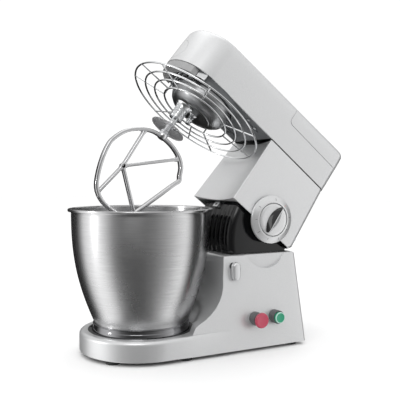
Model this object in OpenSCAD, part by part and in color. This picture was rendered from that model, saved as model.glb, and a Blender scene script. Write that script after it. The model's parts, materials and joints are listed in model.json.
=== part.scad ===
// Tilt-head planetary stand mixer with its head raised: bowl, K-beater, wire guard and full drive train.
// Frame: +X to the rear column, -Y to the control side, +Z up, feet at z = 0.
// Head pieces are drawn with the head lowered and are then swung up about the hinge.

/* [Base] */
// Radius of the round front of the base platform
plat_r = 104; // [96:0.5:112]
// Height of the platform's top face
plat_top = 40; // [36:0.5:52]
// Height of the rubber feet
foot_h = 6; // [4:0.5:9]
// Height of the pedestal's top face
ped_top = 161.5; // [150:0.5:180]
// Front of the pedestal, from the bowl's axis
ped_front = 120; // [116:0.5:128]
// Rear of the pedestal
ped_rear = 271; // [266:0.5:276]
// Half width of the pedestal at its top
ped_half_w = 72; // [70:0.5:80]
// Wall of the cast shells
wall = 3; // [2:0.1:4]

/* [Bowl] */
// Radius of the bowl's rim
bowl_r = 122; // [110:0.5:124]
// Height of the bowl's rim above the table
bowl_rim_z = 243; // [220:0.5:246]
// Sheet thickness of the bowl
bowl_t = 1.2; // [0.8:0.1:2]
// Outer radius of the bowl's foot ring
bowl_foot_r = 81.6; // [76:0.1:86]
// Height of the outside of the bowl's floor
bowl_floor_z = 18; // [17:0.5:22]
// Angle that the bowl turns to unlock
bowl_twist = 22; // [18:1:26]

/* [Head] */
// Opening angle of the head
tilt = 38.5; // [30:0.5:42]
// Hinge axis, from the bowl's axis
pivot_x = 268; // [262:0.5:269]
// Hinge axis height
pivot_z = 184; // [180:0.5:192]
// Lowest edge of the column when lowered
col_bot = 164; // [163.5:0.5:170]
// Front face of the column
col_front = 121; // [120:0.5:124]
// Seam between column and head
seam_z = 296; // [290:0.5:302]
// Top of the head above the bowl's axis
head_top = 376; // [370:0.5:384]
// Front of the nose
head_front = -92; // [-100:0.5:-86]
// Half width of the head
head_half_w = 63; // [61:0.5:68]

/* [Planetary drive] */
// Tooth module of all gears
gear_m = 1.25; // [1.25:0.25:1.5]
// Teeth of the fixed ring gear
ring_teeth = 56; // [52:2:60]
// Teeth of the planet pinion
planet_teeth = 16; // [14:2:18]
// Teeth of the hub gear
hub_teeth = 57; // [54:1:60]
// Teeth of the layshaft pinion
lay_teeth = 15; // [14:1:16]
// Radius of the planetary hub
hub_r = 57; // [52:0.5:60]
// Radial clearance of shafts in their bores
run_fit = 0.05; // [0.02:0.01:0.1]

/* [Tools and guard] */
// Lowest point of the beater when lowered
beater_bot = 24.5; // [23.5:0.5:40]
// Depth of the beater's bars
beater_depth = 11; // [8:0.5:14]
// Width of the beater's bars
beater_bar = 6; // [4:0.5:8]
// Outer radius of the wire guard
guard_r = 126.4; // [118:0.2:127]
// Wire diameter of the guard
guard_wire = 3.2; // [2.4:0.1:4]
// Angle that the guard turns to come off
guard_twist = 22; // [20:1:25]

/* [Controls] */
// Radius of the dial's scale ring
dial_r = 42.2; // [38:0.2:43]
// Radius of the turning knob
knob_r = 28.5; // [24:0.5:31]
// Radius of the stop button
stop_r = 13; // [12:0.5:15]
// Radius of the start button
start_r = 9.5; // [8:0.5:11]

/* [Hidden] */

$fn = 64;
gap = 0.3;                 // working gap between parts that move past each other
joint = 0.1;               // gap between parts that sit in each other

// The row's origin is under the middle of the raised outline
rear_round = 14;
head_rear = col_front + 153;
head_rise = 0.025;         // rise of the head's top toward the rear, per mm
cover_corner = [head_rear - rear_round - pivot_x, head_top + head_rise * head_rear - rear_round - pivot_z];
raised_rear = pivot_x + cover_corner[0] * cos(tilt) + cover_corner[1] * sin(tilt) + rear_round;
row_x = -(raised_rear - bowl_r) / 2;

// Base
plat_bot = foot_h;
plate_t = 3;
ped_half_w_bot = plat_r - 1;
ped_hollow = 6;            // depth of the concave front face
well_r = bowl_foot_r + 8.4;
well_floor = bowl_floor_z - 4;
lug_h = 5;
lug_half = 8;
lug_z = well_floor + 3;
foot_top = plat_top + 12;
side_slope = (ped_half_w_bot - ped_half_w) / (ped_top - plat_bot);
function ped_half(z) = ped_half_w + (ped_top - z) * side_slope;

// Hinge
pin_r = 4;
boss_r = 6.2;
neck_r = pivot_x - ped_front - 19;
neck_half = 59;
neck_wall = 4;
neck_top_angle = 30;
neck_z = ped_top;

// Controls
knob_x = pivot_x - 63;
knob_z = pivot_z - 3.3;
col_half_w = ped_half_w - 0.5;
dial_y = -(col_half_w + 0.2);
recess_r = dial_r + 2.3;
recess_y = -(ped_half_w - 1.5);
button_z = 54.5;
stop_x = 170;
start_x = 210;
button_travel = 3;
collar_r = 11.5;
button_wall = ped_half(button_z);
lever_x = 137.2;
lever_z = 143;
lever_len = 31.5;
lever_w = 15;
lever_y = ped_half(lever_z - 20) + 1;
lever_shaft_r = 4;
strike_x = ped_front + 15;

// Planetary drive
planet_e = gear_m * (ring_teeth - planet_teeth) / 2;
planet_phase = 190;
lay_x = gear_m * (hub_teeth + lay_teeth) / 2;
hub_gear_room = gear_m * (hub_teeth / 2 + 0.9) + 1.5;
gearbox_x = max(43, hub_gear_room);
gearbox_y = max(45, hub_gear_room);
backlash = 0.25;
hub_bot = 251;
hub_top = seam_z - 0.5;
head_bot = seam_z + 2;
panel_top = head_bot + 3;
ring_z = panel_top + 2;
ring_h = 9;
gb_z = ring_z + ring_h;
plate_h = 4;
gear_z = gb_z + plate_h + 2;
gear_h = 8;
chassis_z = gear_z + gear_h + 2;
belt_z = chassis_z + plate_h + 2.5;
belt_w = 6;
hub_shaft_r = 8;
spindle_r = 6;
lay_shaft_r = 5;
motor_shaft_r = 4;
deck_z = seam_z + 46;
deck_t = 2.5;
cover_z = deck_z + deck_t + 1;
cover_front = col_front + 13;

// Motor
motor_x = 205;
motor_r = 40;
motor_top = chassis_z;
motor_bot = motor_top - 94;
stator_top = motor_top - 20;
stator_bot = motor_bot + 22;
armature_r = 22;
motor_pulley_r = 9.5;
lay_pulley_r = 28.5;

// Tool
socket_r = 12;
socket_bot = 221;
tool_shaft_r = 5.4;
disc_z = 203;
disc_r = 32;
beater_top = 184;
slow_bore_r = 14;
planet_x = planet_e * cos(planet_phase);
planet_y = planet_e * sin(planet_phase);
guard_z = 257;
guard_rings = [guard_r, guard_r - 21.6, guard_r - 41.5, guard_r - 62.2];

// ---- helpers ----
module placed() translate([row_x, 0, 0]) children();

module raised()
  placed() translate([pivot_x, 0, pivot_z]) rotate([0, tilt, 0]) translate([-pivot_x, 0, -pivot_z]) children();

module at_planet() translate([planet_x, planet_y, 0]) children();

// a cylinder from z0 to z1
module rod(r, z0, z1) translate([0, 0, z0]) cylinder(r = r, h = z1 - z0);

module tube(r_out, r_in, z0, z1)
  difference() {
    rod(r_out, z0, z1);
    rod(r_in, z0 - 1, z1 + 1);
  }

// a cylinder along Y from y0 to y1 at (x, z)
module y_rod(r, x, z, y0, y1) translate([x, y0, z]) rotate([-90, 0, 0]) cylinder(r = r, h = y1 - y0);

module block(lo, hi) translate(lo) cube(hi - lo);

module y_plate(points, y0, y1) translate([0, y1, 0]) rotate([90, 0, 0]) linear_extrude(y1 - y0) polygon(points);

// a plan outline: hollow front, round corners of radius r, straight sides; xf and xr are its ends
function arc(cx, cy, r, a0, a1, n) = [for (i = [0:n]) let(a = a0 + (a1 - a0) * i / n) [cx + r * cos(a), cy + r * sin(a)]];
function plan(xf, xr, hw, r, hollow, rf = 2) = concat(
  arc(xr - r, hw - r, r, 0, 90, 4),
  arc(xf + rf, hw - rf, rf, 90, 180, 2),
  [for (i = [1:5]) let(y = (hw - rf) * (1 - i / 3)) [xf + hollow * (1 - pow(y / (hw - rf), 2)), y]],
  arc(xf + rf, -hw + rf, rf, 180, 270, 2),
  arc(xr - r, -hw + r, r, 270, 360, 4)
);

// the head's plan: half-round nose, round rear corners
function nose_plan(xf, xr, hw, r) = concat(
  arc(xr - r, hw - r, r, 0, 90, 3),
  arc(xf + hw, 0, hw, 90, 270, 16),
  arc(xr - r, -hw + r, r, 270, 360, 3)
);

// a solid through rings that all have the same number of points; rings after the third rise with x
module loft(rings, heights, rise = 0) {
  n = len(rings[0]);
  last = len(rings) - 1;
  points = [for (k = [0:last], p = rings[k]) [p[0], p[1], heights[k] + (k > 2 ? rise * p[0] : 0)]];
  sides = [for (k = [0:last - 1], i = [0:n - 1], t = [0, 1]) let(j = (i + 1) % n)
    t == 0 ? [k * n + i, (k + 1) * n + i, (k + 1) * n + j] : [k * n + i, (k + 1) * n + j, k * n + j]];
  polyhedron(points, concat([[for (i = [0:n - 1]) i]], sides, [[for (i = [n - 1:-1:0]) last * n + i]]));
}

// involute gear outline; thin narrows the teeth, add and ded are above and below the pitch circle
function roll(rb, r) = let(a = acos(min(1, rb / r))) tan(a) * 180 / PI - a;
function gear_outline(n, thin, add, ded) =
  let(rp = n * gear_m / 2, rb = rp * cos(20), ra = rp + add, rd = rp - ded, r0 = max(rb, rd),
      half = 90 / n - thin / rp * 90 / PI + roll(rb, rp),
      radii = [r0, (r0 + rp) / 2, rp, (rp + ra) / 2, ra],
      flank = [for (r = radii) [r, half - roll(rb, r)]],
      tooth = concat([[rd, -flank[0][1]]], [for (f = flank) [f[0], -f[1]]],
                     [for (i = [4:-1:0]) flank[i]], [[rd, flank[0][1]]]))
  [for (k = [0:n - 1], p = tooth) [p[0] * cos(p[1] + k * 360 / n), p[0] * sin(p[1] + k * 360 / n)]];
module gear(n, z0, h) translate([0, 0, z0]) linear_extrude(h)
  polygon(gear_outline(n, backlash / 2, 0.9 * gear_m, 1.2 * gear_m));

module screw(x, y, z, len = 10, up = 1) {
  translate([x, y, z]) mirror([0, 0, up > 0 ? 0 : 1]) {
    cylinder(r = 1.6, h = len);
    translate([0, 0, -2.2]) cylinder(r = 3, h = 2.2);
  }
}

// ---- base ----
// the pedestal is a side profile crossed with a tapering front view, both inset by t
sweep_x = 100;             // how far the front sweeps forward at the platform
sweep_z = 77;              // how high the sweep starts above its low end
sweep_end = plat_top + 6;
function ped_side(t) = concat(
  [[ped_rear + 2.4 - t, plat_bot - (t > 0 ? 1 : 0)], [ped_rear - t, ped_top - t], [ped_front + t, ped_top - t]],
  [for (a = [0:10:90])
    [ped_front - 5 - sweep_x * (1 - cos(a)) + t, sweep_end + sweep_z * (1 - sin(a)) - t]],
  [[ped_front - 60 - sweep_x + t, plat_top - 0.5 - t], [ped_front - 60 - sweep_x + t, plat_bot - (t > 0 ? 1 : 0)]]);
module pedestal(t) intersection() {
  y_plate(ped_side(t), -plat_r, plat_r);
  translate([-60, 0, 0]) rotate([90, 0, 90]) linear_extrude(360) polygon([
    [-ped_half(plat_bot - 2) + t, plat_bot - 2], [ped_half(plat_bot - 2) - t, plat_bot - 2],
    [ped_half(ped_top) - t, ped_top], [-ped_half(ped_top) + t, ped_top]]);
}
hollow_r = ped_half_w * ped_half_w / 2 / ped_hollow;
// the room kept free in front of the pedestal, grown by t: round below for the bowl, a shallow hollow above
module bowl_room(t) {
  translate([0, 0, plat_top - t])
    cylinder(r1 = well_r + 0.5 + t, r2 = ped_front + 4 + t, h = ped_top - plat_top + 2 + t, $fn = 96);
  translate([ped_front + ped_hollow - hollow_r, 0, sweep_end])
    cylinder(r1 = hollow_r - 64 + t, r2 = hollow_r + 1 + t, h = ped_top - sweep_end + 2, $fn = 96);
}

module platform(t, z0, z1) {
  rod(plat_r - t, z0, z1);
  block([0, -(plat_r - t), z0], [ped_front, plat_r - t, z1]);
}

module screw_bosses(r, grow) for (p = screws_at)
  translate([p[0], p[1], 0]) rod(r, plat_bot + plate_t - grow, plat_top - wall + (p[0] > 0 ? 14 : 1) + grow);

module base_housing() color([0.78, 0.79, 0.8]) placed() difference() {
  union() {
    difference() {
      union() {
        platform(0, plat_bot, plat_top);
        difference() {
          pedestal(0);
          bowl_room(0);
        }
      }
      platform(wall, plat_bot - 1, plat_top - wall);
      difference() {
        pedestal(wall);
        bowl_room(wall);
      }
    }
    intersection() {
      y_rod(recess_r + wall, knob_x, knob_z, recess_y - 8, recess_y + wall);
      pedestal(wall / 2);
    }
    screw_bosses(4.5, 0);
  }
  for (p = screws_at) translate([p[0], p[1], plat_bot]) cylinder(r = 1.6, h = 12);
  rod(well_r, plat_bot, plat_top + 1);
  y_rod(recess_r, knob_x, knob_z, -plat_r - 10, recess_y);
  for (x = [stop_x, start_x]) y_rod(collar_r - 2, x, button_z, -plat_r - 10, -60);
  y_rod(lever_shaft_r + 3, lever_x, lever_z, -plat_r - 10, -60);
  block([strike_x - 5, -10, ped_top - wall - 1], [strike_x + 7, 10, ped_top + 1]);
  translate([ped_rear - 20, 62, 30]) rotate([0, 90, 0]) cylinder(r = 7, h = 60);
}

module base_plate() color([0.16, 0.16, 0.17]) placed() difference() {
  union() {
    platform(wall + joint, plat_bot, plat_bot + plate_t);
    block([ped_front - 2, -(plat_r - wall - 4), plat_bot], [ped_rear - wall - 1, plat_r - wall - 4, plat_bot + plate_t]);
  }
  for (i = [0:11]) translate([170 + i * 5, -14, plat_bot - 1]) cube([2.5, 28, plate_t + 2]);
  for (p = feet_at) translate([p[0], p[1], plat_bot - 1]) cylinder(r = 4, h = plate_t + 2);
  for (p = screws_at) translate([p[0], p[1], plat_bot - 1]) cylinder(r = 1.7, h = plate_t + 2);
}

feet_at = [[-72, -52], [-72, 52], [40, -86], [40, 86], [250, -84], [250, 84]];
screws_at = [[-(plat_r + well_r) / 2 + 1, 0], [90, -88], [90, 88], [200, -88], [200, 88]];

module rubber_feet() color([0.06, 0.06, 0.06]) placed() for (p = feet_at) translate([p[0], p[1], 0]) {
  rod(11, 0, plat_bot);
  rod(4 - joint / 2, plat_bot - 0.5, plat_bot + plate_t - 0.2);
}

module base_screws() color([0.6, 0.6, 0.6]) placed() for (p = screws_at) screw(p[0], p[1], plat_bot, 9);

module bowl_seat() color([0.2, 0.2, 0.21]) placed() difference() {
  rod(well_r - joint, plat_bot + plate_t, plat_top);
  rod(bowl_foot_r + 1.4, well_floor, plat_top + 1);
  rod(bowl_foot_r + 6.4, lug_z - 1, lug_z + lug_h + 1);
  rod(bowl_foot_r - 16, plat_bot, well_floor - 2);
  for (k = [0:2]) rotate(k * 120 + bowl_twist) lug(lug_half + 2, bowl_foot_r + 6, lug_z, plat_top + 1);
}

// a sector of a ring that stands out of the foot; half is its half angle
module lug(half, r, z0, z1) intersection() {
  rod(r, z0, z1);
  translate([0, 0, z0]) linear_extrude(z1 - z0)
    polygon([[0, 0], [2 * r * cos(half), -2 * r * sin(half)], [2 * r * cos(half), 2 * r * sin(half)]]);
}

// the neck's side outline: an arc about the hinge, sloping down to the hinge boss
function neck_side(r) = concat(
  [for (a = [-asin((pivot_z - neck_z) / r):4:neck_top_angle]) [pivot_x - r * cos(a), pivot_z + r * sin(a)]],
  [[pivot_x - r * cos(neck_top_angle), pivot_z + r * sin(neck_top_angle)], [pivot_x, pivot_z + boss_r],
   [pivot_x, pivot_z], [pivot_x - 14, neck_z]]);

module hinge_neck() color([0.04, 0.04, 0.045]) placed() difference() {
  union() {
    intersection() {
      y_plate(neck_side(neck_r), -neck_half, neck_half);
      translate([0, 0, neck_z]) linear_extrude(120)
        polygon(plan(pivot_x - neck_r - 4, pivot_x + 20, neck_half, 4, 0, 14));
    }
    y_rod(boss_r, pivot_x, pivot_z, -neck_half, neck_half);
  }
  y_rod(pin_r, pivot_x, pivot_z, -neck_half - 1, neck_half + 1);
  difference() {
    y_rod(neck_r - neck_wall, pivot_x, pivot_z, -neck_half + neck_wall, neck_half - neck_wall);
    block([0, -80, 0], [pivot_x + 60, 80, neck_z + neck_wall]);
  }
}

module hinge_pin() color([0.7, 0.7, 0.72]) placed() y_rod(pin_r, pivot_x, pivot_z, -neck_half - 6, neck_half + 6);

module button_collars() color([0.2, 0.2, 0.21]) placed() for (x = [stop_x, start_x]) difference() {
  union() {
    y_rod(collar_r, x, button_z, -button_wall - 14, -button_wall - 0.6);
    y_rod(collar_r - 2, x, button_z, -button_wall - 2, -button_wall + 12);
  }
  y_rod(6.5, x, button_z, -button_wall - 15, -button_wall + 13);
  y_rod(x == stop_x ? 9 : start_r + gap, x, button_z, -button_wall - 15, -button_wall - 6);
}

module push_button(x, r, y_out, y_in) {
  difference() {
    y_rod(r, x, button_z, y_out, y_in);
    if (r > collar_r) y_rod(r - 2, x, button_z, y_in - 1, y_in + 1);
  }
  y_rod(6, x, button_z, y_in - 2, -button_wall + 12);
}

module stop_button() color([0.72, 0.1, 0.2]) placed()
  push_button(stop_x, stop_r, -button_wall - 24, -button_wall - 14 - button_travel - 0.5);

module start_button() color([0.1, 0.5, 0.35]) placed()
  push_button(start_x, start_r, -button_wall - 19, -button_wall - 12);

module switch_block() color([0.12, 0.12, 0.13]) placed() difference() {
  block([stop_x - 12, -button_wall + 16, plat_bot + plate_t], [start_x + 12, -button_wall + 44, button_z + 14]);
  block([stop_x - 13, -button_wall + 38, button_z + 8], [start_x + 13, -button_wall + 45, button_z + 15]);
}

module power_board() color([0.1, 0.35, 0.2]) placed() {
  block([150, 20, plat_bot + plate_t], [240, 21.6, 130]);
  for (p = [[160, 70], [190, 74], [215, 95]]) block([p[0], 21.6, p[1]], [p[0] + 16, 34, p[1] + 18]);
  block([156, 16, 100], [190, 20, 124]);
}

module mains_filter() color([0.75, 0.75, 0.7]) placed() {
  block([200, 40, plat_bot + plate_t], [236, 64, 44]);
  for (y = [46, 56]) block([236, y - 1.5, 30], [242, y + 1.5, 31]);
}

module cord_inlet() color([0.05, 0.05, 0.05]) placed() difference() {
  union() {
    translate([ped_rear - 10, 62, 30]) rotate([0, 90, 0]) cylinder(r = 7 - joint / 2, h = 16);
    translate([ped_rear + 2.3, 62, 30]) rotate([0, 90, 0]) cylinder(r = 9.5, h = 3);
  }
  translate([ped_rear - 12, 62, 30]) rotate([0, 90, 0]) cylinder(r = 4, h = 20);
}

module lever_bush() color([0.12, 0.12, 0.13]) placed() difference() {
  y_rod(lever_shaft_r + 3 - joint / 2, lever_x, lever_z, -ped_half(lever_z) - 0.5, -ped_half(lever_z) + 16);
  y_rod(lever_shaft_r + run_fit, lever_x, lever_z, -ped_half(lever_z) - 2, -ped_half(lever_z) + 18);
}

module head_lever() color([0.82, 0.82, 0.83]) placed() {
  intersection() {
    y_plate(concat(arc(lever_x, lever_z + 1, lever_w / 2, 0, 180, 8),
                   arc(lever_x, lever_z - lever_len + lever_w + 1, lever_w / 2, 180, 360, 8)),
            -lever_y - 9, -lever_y);
    y_rod(30, lever_x, lever_z - 8, -lever_y - 10, -lever_y + 1);
  }
  y_rod(lever_shaft_r, lever_x, lever_z, -lever_y - 1, -neck_half + 14);
}

module latch_hook() color([0.6, 0.6, 0.62]) placed() difference() {
  y_plate([[lever_x - 8, lever_z - 8], [lever_x + 8, lever_z - 8], [lever_x + 8, lever_z + 8],
           [lever_x - 8, lever_z + 8]], -neck_half + 6, -neck_half + 12);
  y_rod(lever_shaft_r, lever_x, lever_z, -neck_half + 5, -neck_half + 13);
}

module latch_spring() color([0.5, 0.5, 0.52]) placed()
  for (k = [0:3]) translate([lever_x, -neck_half + 0.4 + k * 1.3, lever_z]) rotate([90, 0, 0])
    rotate_extrude() translate([lever_shaft_r + 0.6, 0]) circle(r = 0.45, $fn = 16);

// ---- bowl ----
// outer radius and drop below the rim, as shares of the bowl's own size
bowl_r_under = bowl_r - 5.5;
bowl_h = bowl_rim_z - bowl_floor_z;
foot_in = bowl_foot_r - 2.1;
function bowl_side(t) = let(r1 = bowl_r_under, r2 = foot_in) [
  for (s = [0:0.1:1]) let(z = bowl_rim_z - 4 - s * (bowl_rim_z - 4 - foot_top - 2))
    [r2 + (r1 - r2) * pow(cos(90 * pow(s, 1.3)), 0.95) - t, z]];

module mixing_bowl() color([0.7, 0.71, 0.72]) placed() rotate_extrude($fn = 96) polygon(concat(
  [[bowl_r - 0.6, bowl_rim_z - 5], [bowl_r, bowl_rim_z - 3.6], [bowl_r, bowl_rim_z - 1.2], [bowl_r - 1.2, bowl_rim_z],
   [bowl_r_under - bowl_t + 0.4, bowl_rim_z], [bowl_r_under - bowl_t, bowl_rim_z - 1.5]],
  bowl_side(bowl_t),
  [[foot_in - bowl_t, bowl_floor_z + 12], [foot_in - 4 - bowl_t, bowl_floor_z + 4 + bowl_t], [foot_in - 12, bowl_floor_z + bowl_t],
   [0, bowl_floor_z + bowl_t], [0, bowl_floor_z], [foot_in - 12, bowl_floor_z], [foot_in - 4, bowl_floor_z + 4],
   [foot_in, bowl_floor_z + 12]],
  [for (i = [10:-1:0]) bowl_side(0)[i]],
  [[bowl_r_under + 0.6, bowl_rim_z - 3], [bowl_r - 1.6, bowl_rim_z - 3]]));

module bowl_foot() color([0.35, 0.35, 0.36]) placed() {
  tube(bowl_foot_r, foot_in, well_floor + gap, foot_top);
  for (k = [0:2]) rotate(k * 120) difference() {
    lug(lug_half, bowl_foot_r + 5.4, lug_z, lug_z + lug_h);
    rod(bowl_foot_r - 0.5, lug_z - 1, lug_z + lug_h + 1);
  }
}

// ---- head shells ----
col_levels = [col_bot, col_bot + 7, seam_z];
col_rear = pivot_x + 11.2;
function col_ring(k, t) = let(s = (col_levels[k] - col_bot) / (seam_z - col_bot)) plan(
  col_front + 3 * s + (t > 0 ? t + 8.5 : 0), (k == 0 ? col_rear - 6 : col_rear - 5 * s) - t,
  col_half_w + (head_half_w - col_half_w) * s - t, 12 - t, t > 0 ? 0 : 8.5, 2);

module column_shell() color([0.78, 0.79, 0.8]) raised() difference() {
  loft([for (k = [0:2]) col_ring(k, 0)], col_levels);
  loft([for (k = [0:2]) col_ring(k, wall - 0.8)], [col_bot - 1, col_bot + 7, seam_z + 1]);
  rod(guard_r + guard_wire / 2 + 2.5, guard_z - 9, seam_z + 1);
  y_rod(8, knob_x, knob_z, -80, -60);
}

// rings of the head, inset by t; the top edges round in, a little further at the nose
head_levels = [head_bot, head_bot + 22, cover_z, head_top - 9, head_top - 5, head_top - 2, head_top];
head_insets = [0, 0, 0.3, 0.8, 2.4, 4.8, 9];
nose_insets = [0, 0, 0.3, 1, 3, 6, 11];
function head_ring(k, t) = nose_plan(head_front + nose_insets[k] + t, head_rear + 2.5 - head_insets[k] - t,
                                     head_half_w - head_insets[k] - t, 14 - t);

module head_solid(t, z_low, z_top) loft([for (k = [0:6]) head_ring(k, t)],
  [for (k = [0:6]) k == 0 ? z_low : k == 6 ? z_top : head_levels[k] - t], head_rise);

module cover_zone(t) block([cover_front + t, -80, cover_z + t], [head_rear + 20, 80, head_top + 25]);

module head_shell() color([0.78, 0.79, 0.8]) raised() difference() {
  head_solid(0, head_bot, head_top);
  head_solid(wall, head_bot - 1, head_top - wall);
  cover_zone(-0.5);
  translate([head_front - 1, 0, seam_z + 28]) rotate([0, 90, 0]) cylinder(r = 20, h = wall + 5);
}

module high_outlet_cover() color([0.8, 0.81, 0.82]) raised() difference() {
  intersection() {
    head_solid(0, head_bot, head_top);
    cover_zone(0);
  }
  intersection() {
    head_solid(wall, head_bot - 1, head_top - wall);
    cover_zone(wall * 0.8);
  }
  intersection() {
    head_solid(wall, head_bot - 1, head_top - wall);
    block([cover_front + wall, -80, cover_z - 1], [head_rear + 20, 80, cover_z + 6]);
  }
}

module outlet_deck() color([0.14, 0.14, 0.15]) raised() difference() {
  intersection() {
    head_solid(wall + joint, head_bot, head_top);
    block([cover_front - 6, -80, deck_z], [head_rear + 20, 80, deck_z + deck_t]);
  }
  translate([motor_x, 0, deck_z - 1]) cylinder(r = 14, h = 10);
}

module seam_gasket() color([0.05, 0.05, 0.05]) raised() difference() {
  loft([plan(col_front + 4, head_rear + 1, head_half_w - 0.8, 12, 8.5, 2),
        plan(col_front + 4, head_rear + 1, head_half_w - 0.8, 12, 8.5, 2)], [seam_z, head_bot]);
  loft([plan(col_front + 16, head_rear - 2, head_half_w - 3, 10, 0, 2),
        plan(col_front + 16, head_rear - 2, head_half_w - 3, 10, 0, 2)], [seam_z - 1, head_bot + 1]);
  rod(guard_r + guard_wire / 2 + 2.5, seam_z - 1, head_bot + 1);
}

module head_underside() color([0.27, 0.28, 0.29]) raised() difference() {
  union() {
    intersection() {
      head_solid(wall + joint, head_bot - 1, head_top);
      block([head_front, -80, head_bot], [col_front + 2, 80, panel_top]);
    }
    tube(hub_r + 4, hub_r + 1.4, head_bot - 12, head_bot);
  }
  rod(hub_r - 8, head_bot - 20, panel_top + 1);
  for (p = panel_screws) translate([p[0], p[1], head_bot - 1]) cylinder(r = 1.6, h = 6);
}

module nose_chin() color([0.74, 0.75, 0.76]) raised() difference() {
  translate([0, 0, head_bot - 14]) linear_extrude(14) polygon(nose_plan(head_front + 0.5, -40, head_half_w - 1, 8));
  rod(hub_r + 17, head_bot - 30, head_bot + 1);
  block([-66, -80, head_bot - 30], [0, 80, head_bot + 1]);
}

module hinge_brackets() color([0.55, 0.56, 0.58]) raised() for (s = [-1, 1]) difference() {
  union() {
    y_rod(boss_r, pivot_x, pivot_z, s > 0 ? neck_half + 1 : -(col_half_w - 2.2), s > 0 ? col_half_w - 2.2 : -neck_half - 1);
    y_plate([[pivot_x - boss_r, pivot_z], [pivot_x + boss_r - 1, pivot_z], [pivot_x - 6, 250], [pivot_x - 40, 250]],
            s > 0 ? neck_half + 1 : -neck_half - 4.5, s > 0 ? neck_half + 4.5 : -neck_half - 1);
  }
  y_rod(pin_r + run_fit, pivot_x, pivot_z, s > 0 ? neck_half : -neck_half - 7.2, s > 0 ? neck_half + 7.2 : -neck_half);
}

// ---- drive ----
module head_chassis() color([0.6, 0.61, 0.63]) raised() difference() {
  union() {
    block([-50, -52, chassis_z], [250, 52, chassis_z + plate_h]);
    for (x = [2, 112], y = [-34, 34])
      translate([x, y, 0]) rod(4.5, chassis_z + plate_h, head_top + head_rise * (x - 4.5) - wall - joint);
    for (y = [-44, 44]) translate([240, y, 0]) rod(4.5, chassis_z + plate_h, deck_z);
  }
  rod(hub_shaft_r + 6, chassis_z - 1, chassis_z + plate_h + 1);
  translate([lay_x, 0, 0]) rod(lay_shaft_r + 5, chassis_z - 1, chassis_z + plate_h + 1);
  translate([motor_x, 0, 0]) rod(16, chassis_z - 1, chassis_z + plate_h + 1);
}

module gearbox_housing() color([0.62, 0.63, 0.65]) raised() difference() {
  block([-gearbox_x - 5, -gearbox_y - 5, gb_z], [lay_x + 26, gearbox_y + 5, chassis_z]);
  block([-gearbox_x, -gearbox_y, gb_z + plate_h], [lay_x + 21, gearbox_y, chassis_z + 1]);
  rod(hub_shaft_r + 6, gb_z - 1, gb_z + plate_h + 1);
  translate([lay_x, 0, 0]) rod(lay_shaft_r + 5, gb_z - 1, gb_z + plate_h + 1);
}

module gearbox_bearings() color([0.75, 0.75, 0.77]) raised()
  for (z = [gb_z, chassis_z]) tube(hub_shaft_r + 6, hub_shaft_r + run_fit, z, z + plate_h);

module layshaft_bearings() color([0.75, 0.75, 0.77]) raised() translate([lay_x, 0, 0])
  for (z = [gb_z, chassis_z]) tube(lay_shaft_r + 5, lay_shaft_r + run_fit, z, z + plate_h);

module ring_gear() color([0.5, 0.5, 0.52]) raised() rotate(planet_phase) difference() {
  rod(gear_m * ring_teeth / 2 + 8, ring_z, ring_z + ring_h - joint);
  translate([0, 0, ring_z - 1]) linear_extrude(ring_h + 2)
    polygon(gear_outline(ring_teeth, -backlash / 2, 1.2 * gear_m, 0.9 * gear_m));
}

module stator() color([0.4, 0.4, 0.42]) raised() translate([motor_x, 0, 0]) {
  difference() {
    tube(motor_r, armature_r + 1, stator_bot, stator_top);
    for (a = [45:90:315]) rotate(a) translate([30, 0, stator_bot - 1]) cylinder(r = 2.4, h = 100);
  }
  color([0.7, 0.35, 0.15]) for (z = [[stator_bot - 8, stator_bot], [stator_top, stator_top + 6]])
    tube(35, armature_r + 3, z[0], z[1]);
}

module motor_bells() color([0.66, 0.67, 0.69]) raised() translate([motor_x, 0, 0]) {
  difference() {
    rod(motor_r, stator_top, motor_top);
    rod(motor_r - 4, stator_top - 1, motor_top - 6);
    rod(11, motor_top - 8, motor_top + 1);
    for (a = [0:60:300]) rotate(a) translate([motor_r - 8, -6, stator_top + 3]) cube([16, 12, 8]);
  }
  difference() {
    rod(motor_r, motor_bot, stator_bot);
    rod(motor_r - 4, motor_bot + 6, stator_bot + 1);
    rod(11, motor_bot - 1, motor_bot + 8);
    for (a = [30:60:330]) rotate(a) translate([motor_r - 8, -6, motor_bot + 9]) cube([16, 12, 8]);
  }
}

module motor_bearings() color([0.75, 0.75, 0.77]) raised() translate([motor_x, 0, 0])
  for (z = [motor_bot, motor_top - 6]) tube(11, motor_shaft_r + run_fit, z, z + 6);

module brush_gear() color([0.35, 0.25, 0.1]) raised() translate([motor_x, 0, 0])
  for (a = [0, 180]) rotate(a) block([11, -4, motor_bot + 7], [35.7, 4, motor_bot + 13]);

module armature() color([0.55, 0.4, 0.3]) raised() translate([motor_x, 0, 0]) {
  rod(motor_shaft_r, motor_bot - 6, deck_z + deck_t + 9);
  rod(armature_r, stator_bot + 2, stator_top - 2);
  rod(10, motor_bot + 7, motor_bot + 14);
  rod(motor_pulley_r, belt_z, belt_z + belt_w);
  rod(motor_pulley_r + 2, belt_z - 1.5, belt_z - 0.3);
  for (a = [0:60:300]) rotate(a) block([motor_shaft_r - 1, -1.2, deck_z + deck_t + 2], [11, 1.2, deck_z + deck_t + 8]);
}

module layshaft() color([0.6, 0.6, 0.62]) raised() translate([lay_x, 0, 0]) {
  rod(lay_shaft_r, gb_z + gap, belt_z + belt_w + 3);
  rotate(180 + 180 / lay_teeth) gear(lay_teeth, gear_z - 0.5, gear_h + 1);
  rod(lay_pulley_r, belt_z, belt_z + belt_w);
  rod(lay_pulley_r + 2, belt_z - 1.5, belt_z - 0.3);
}

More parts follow.
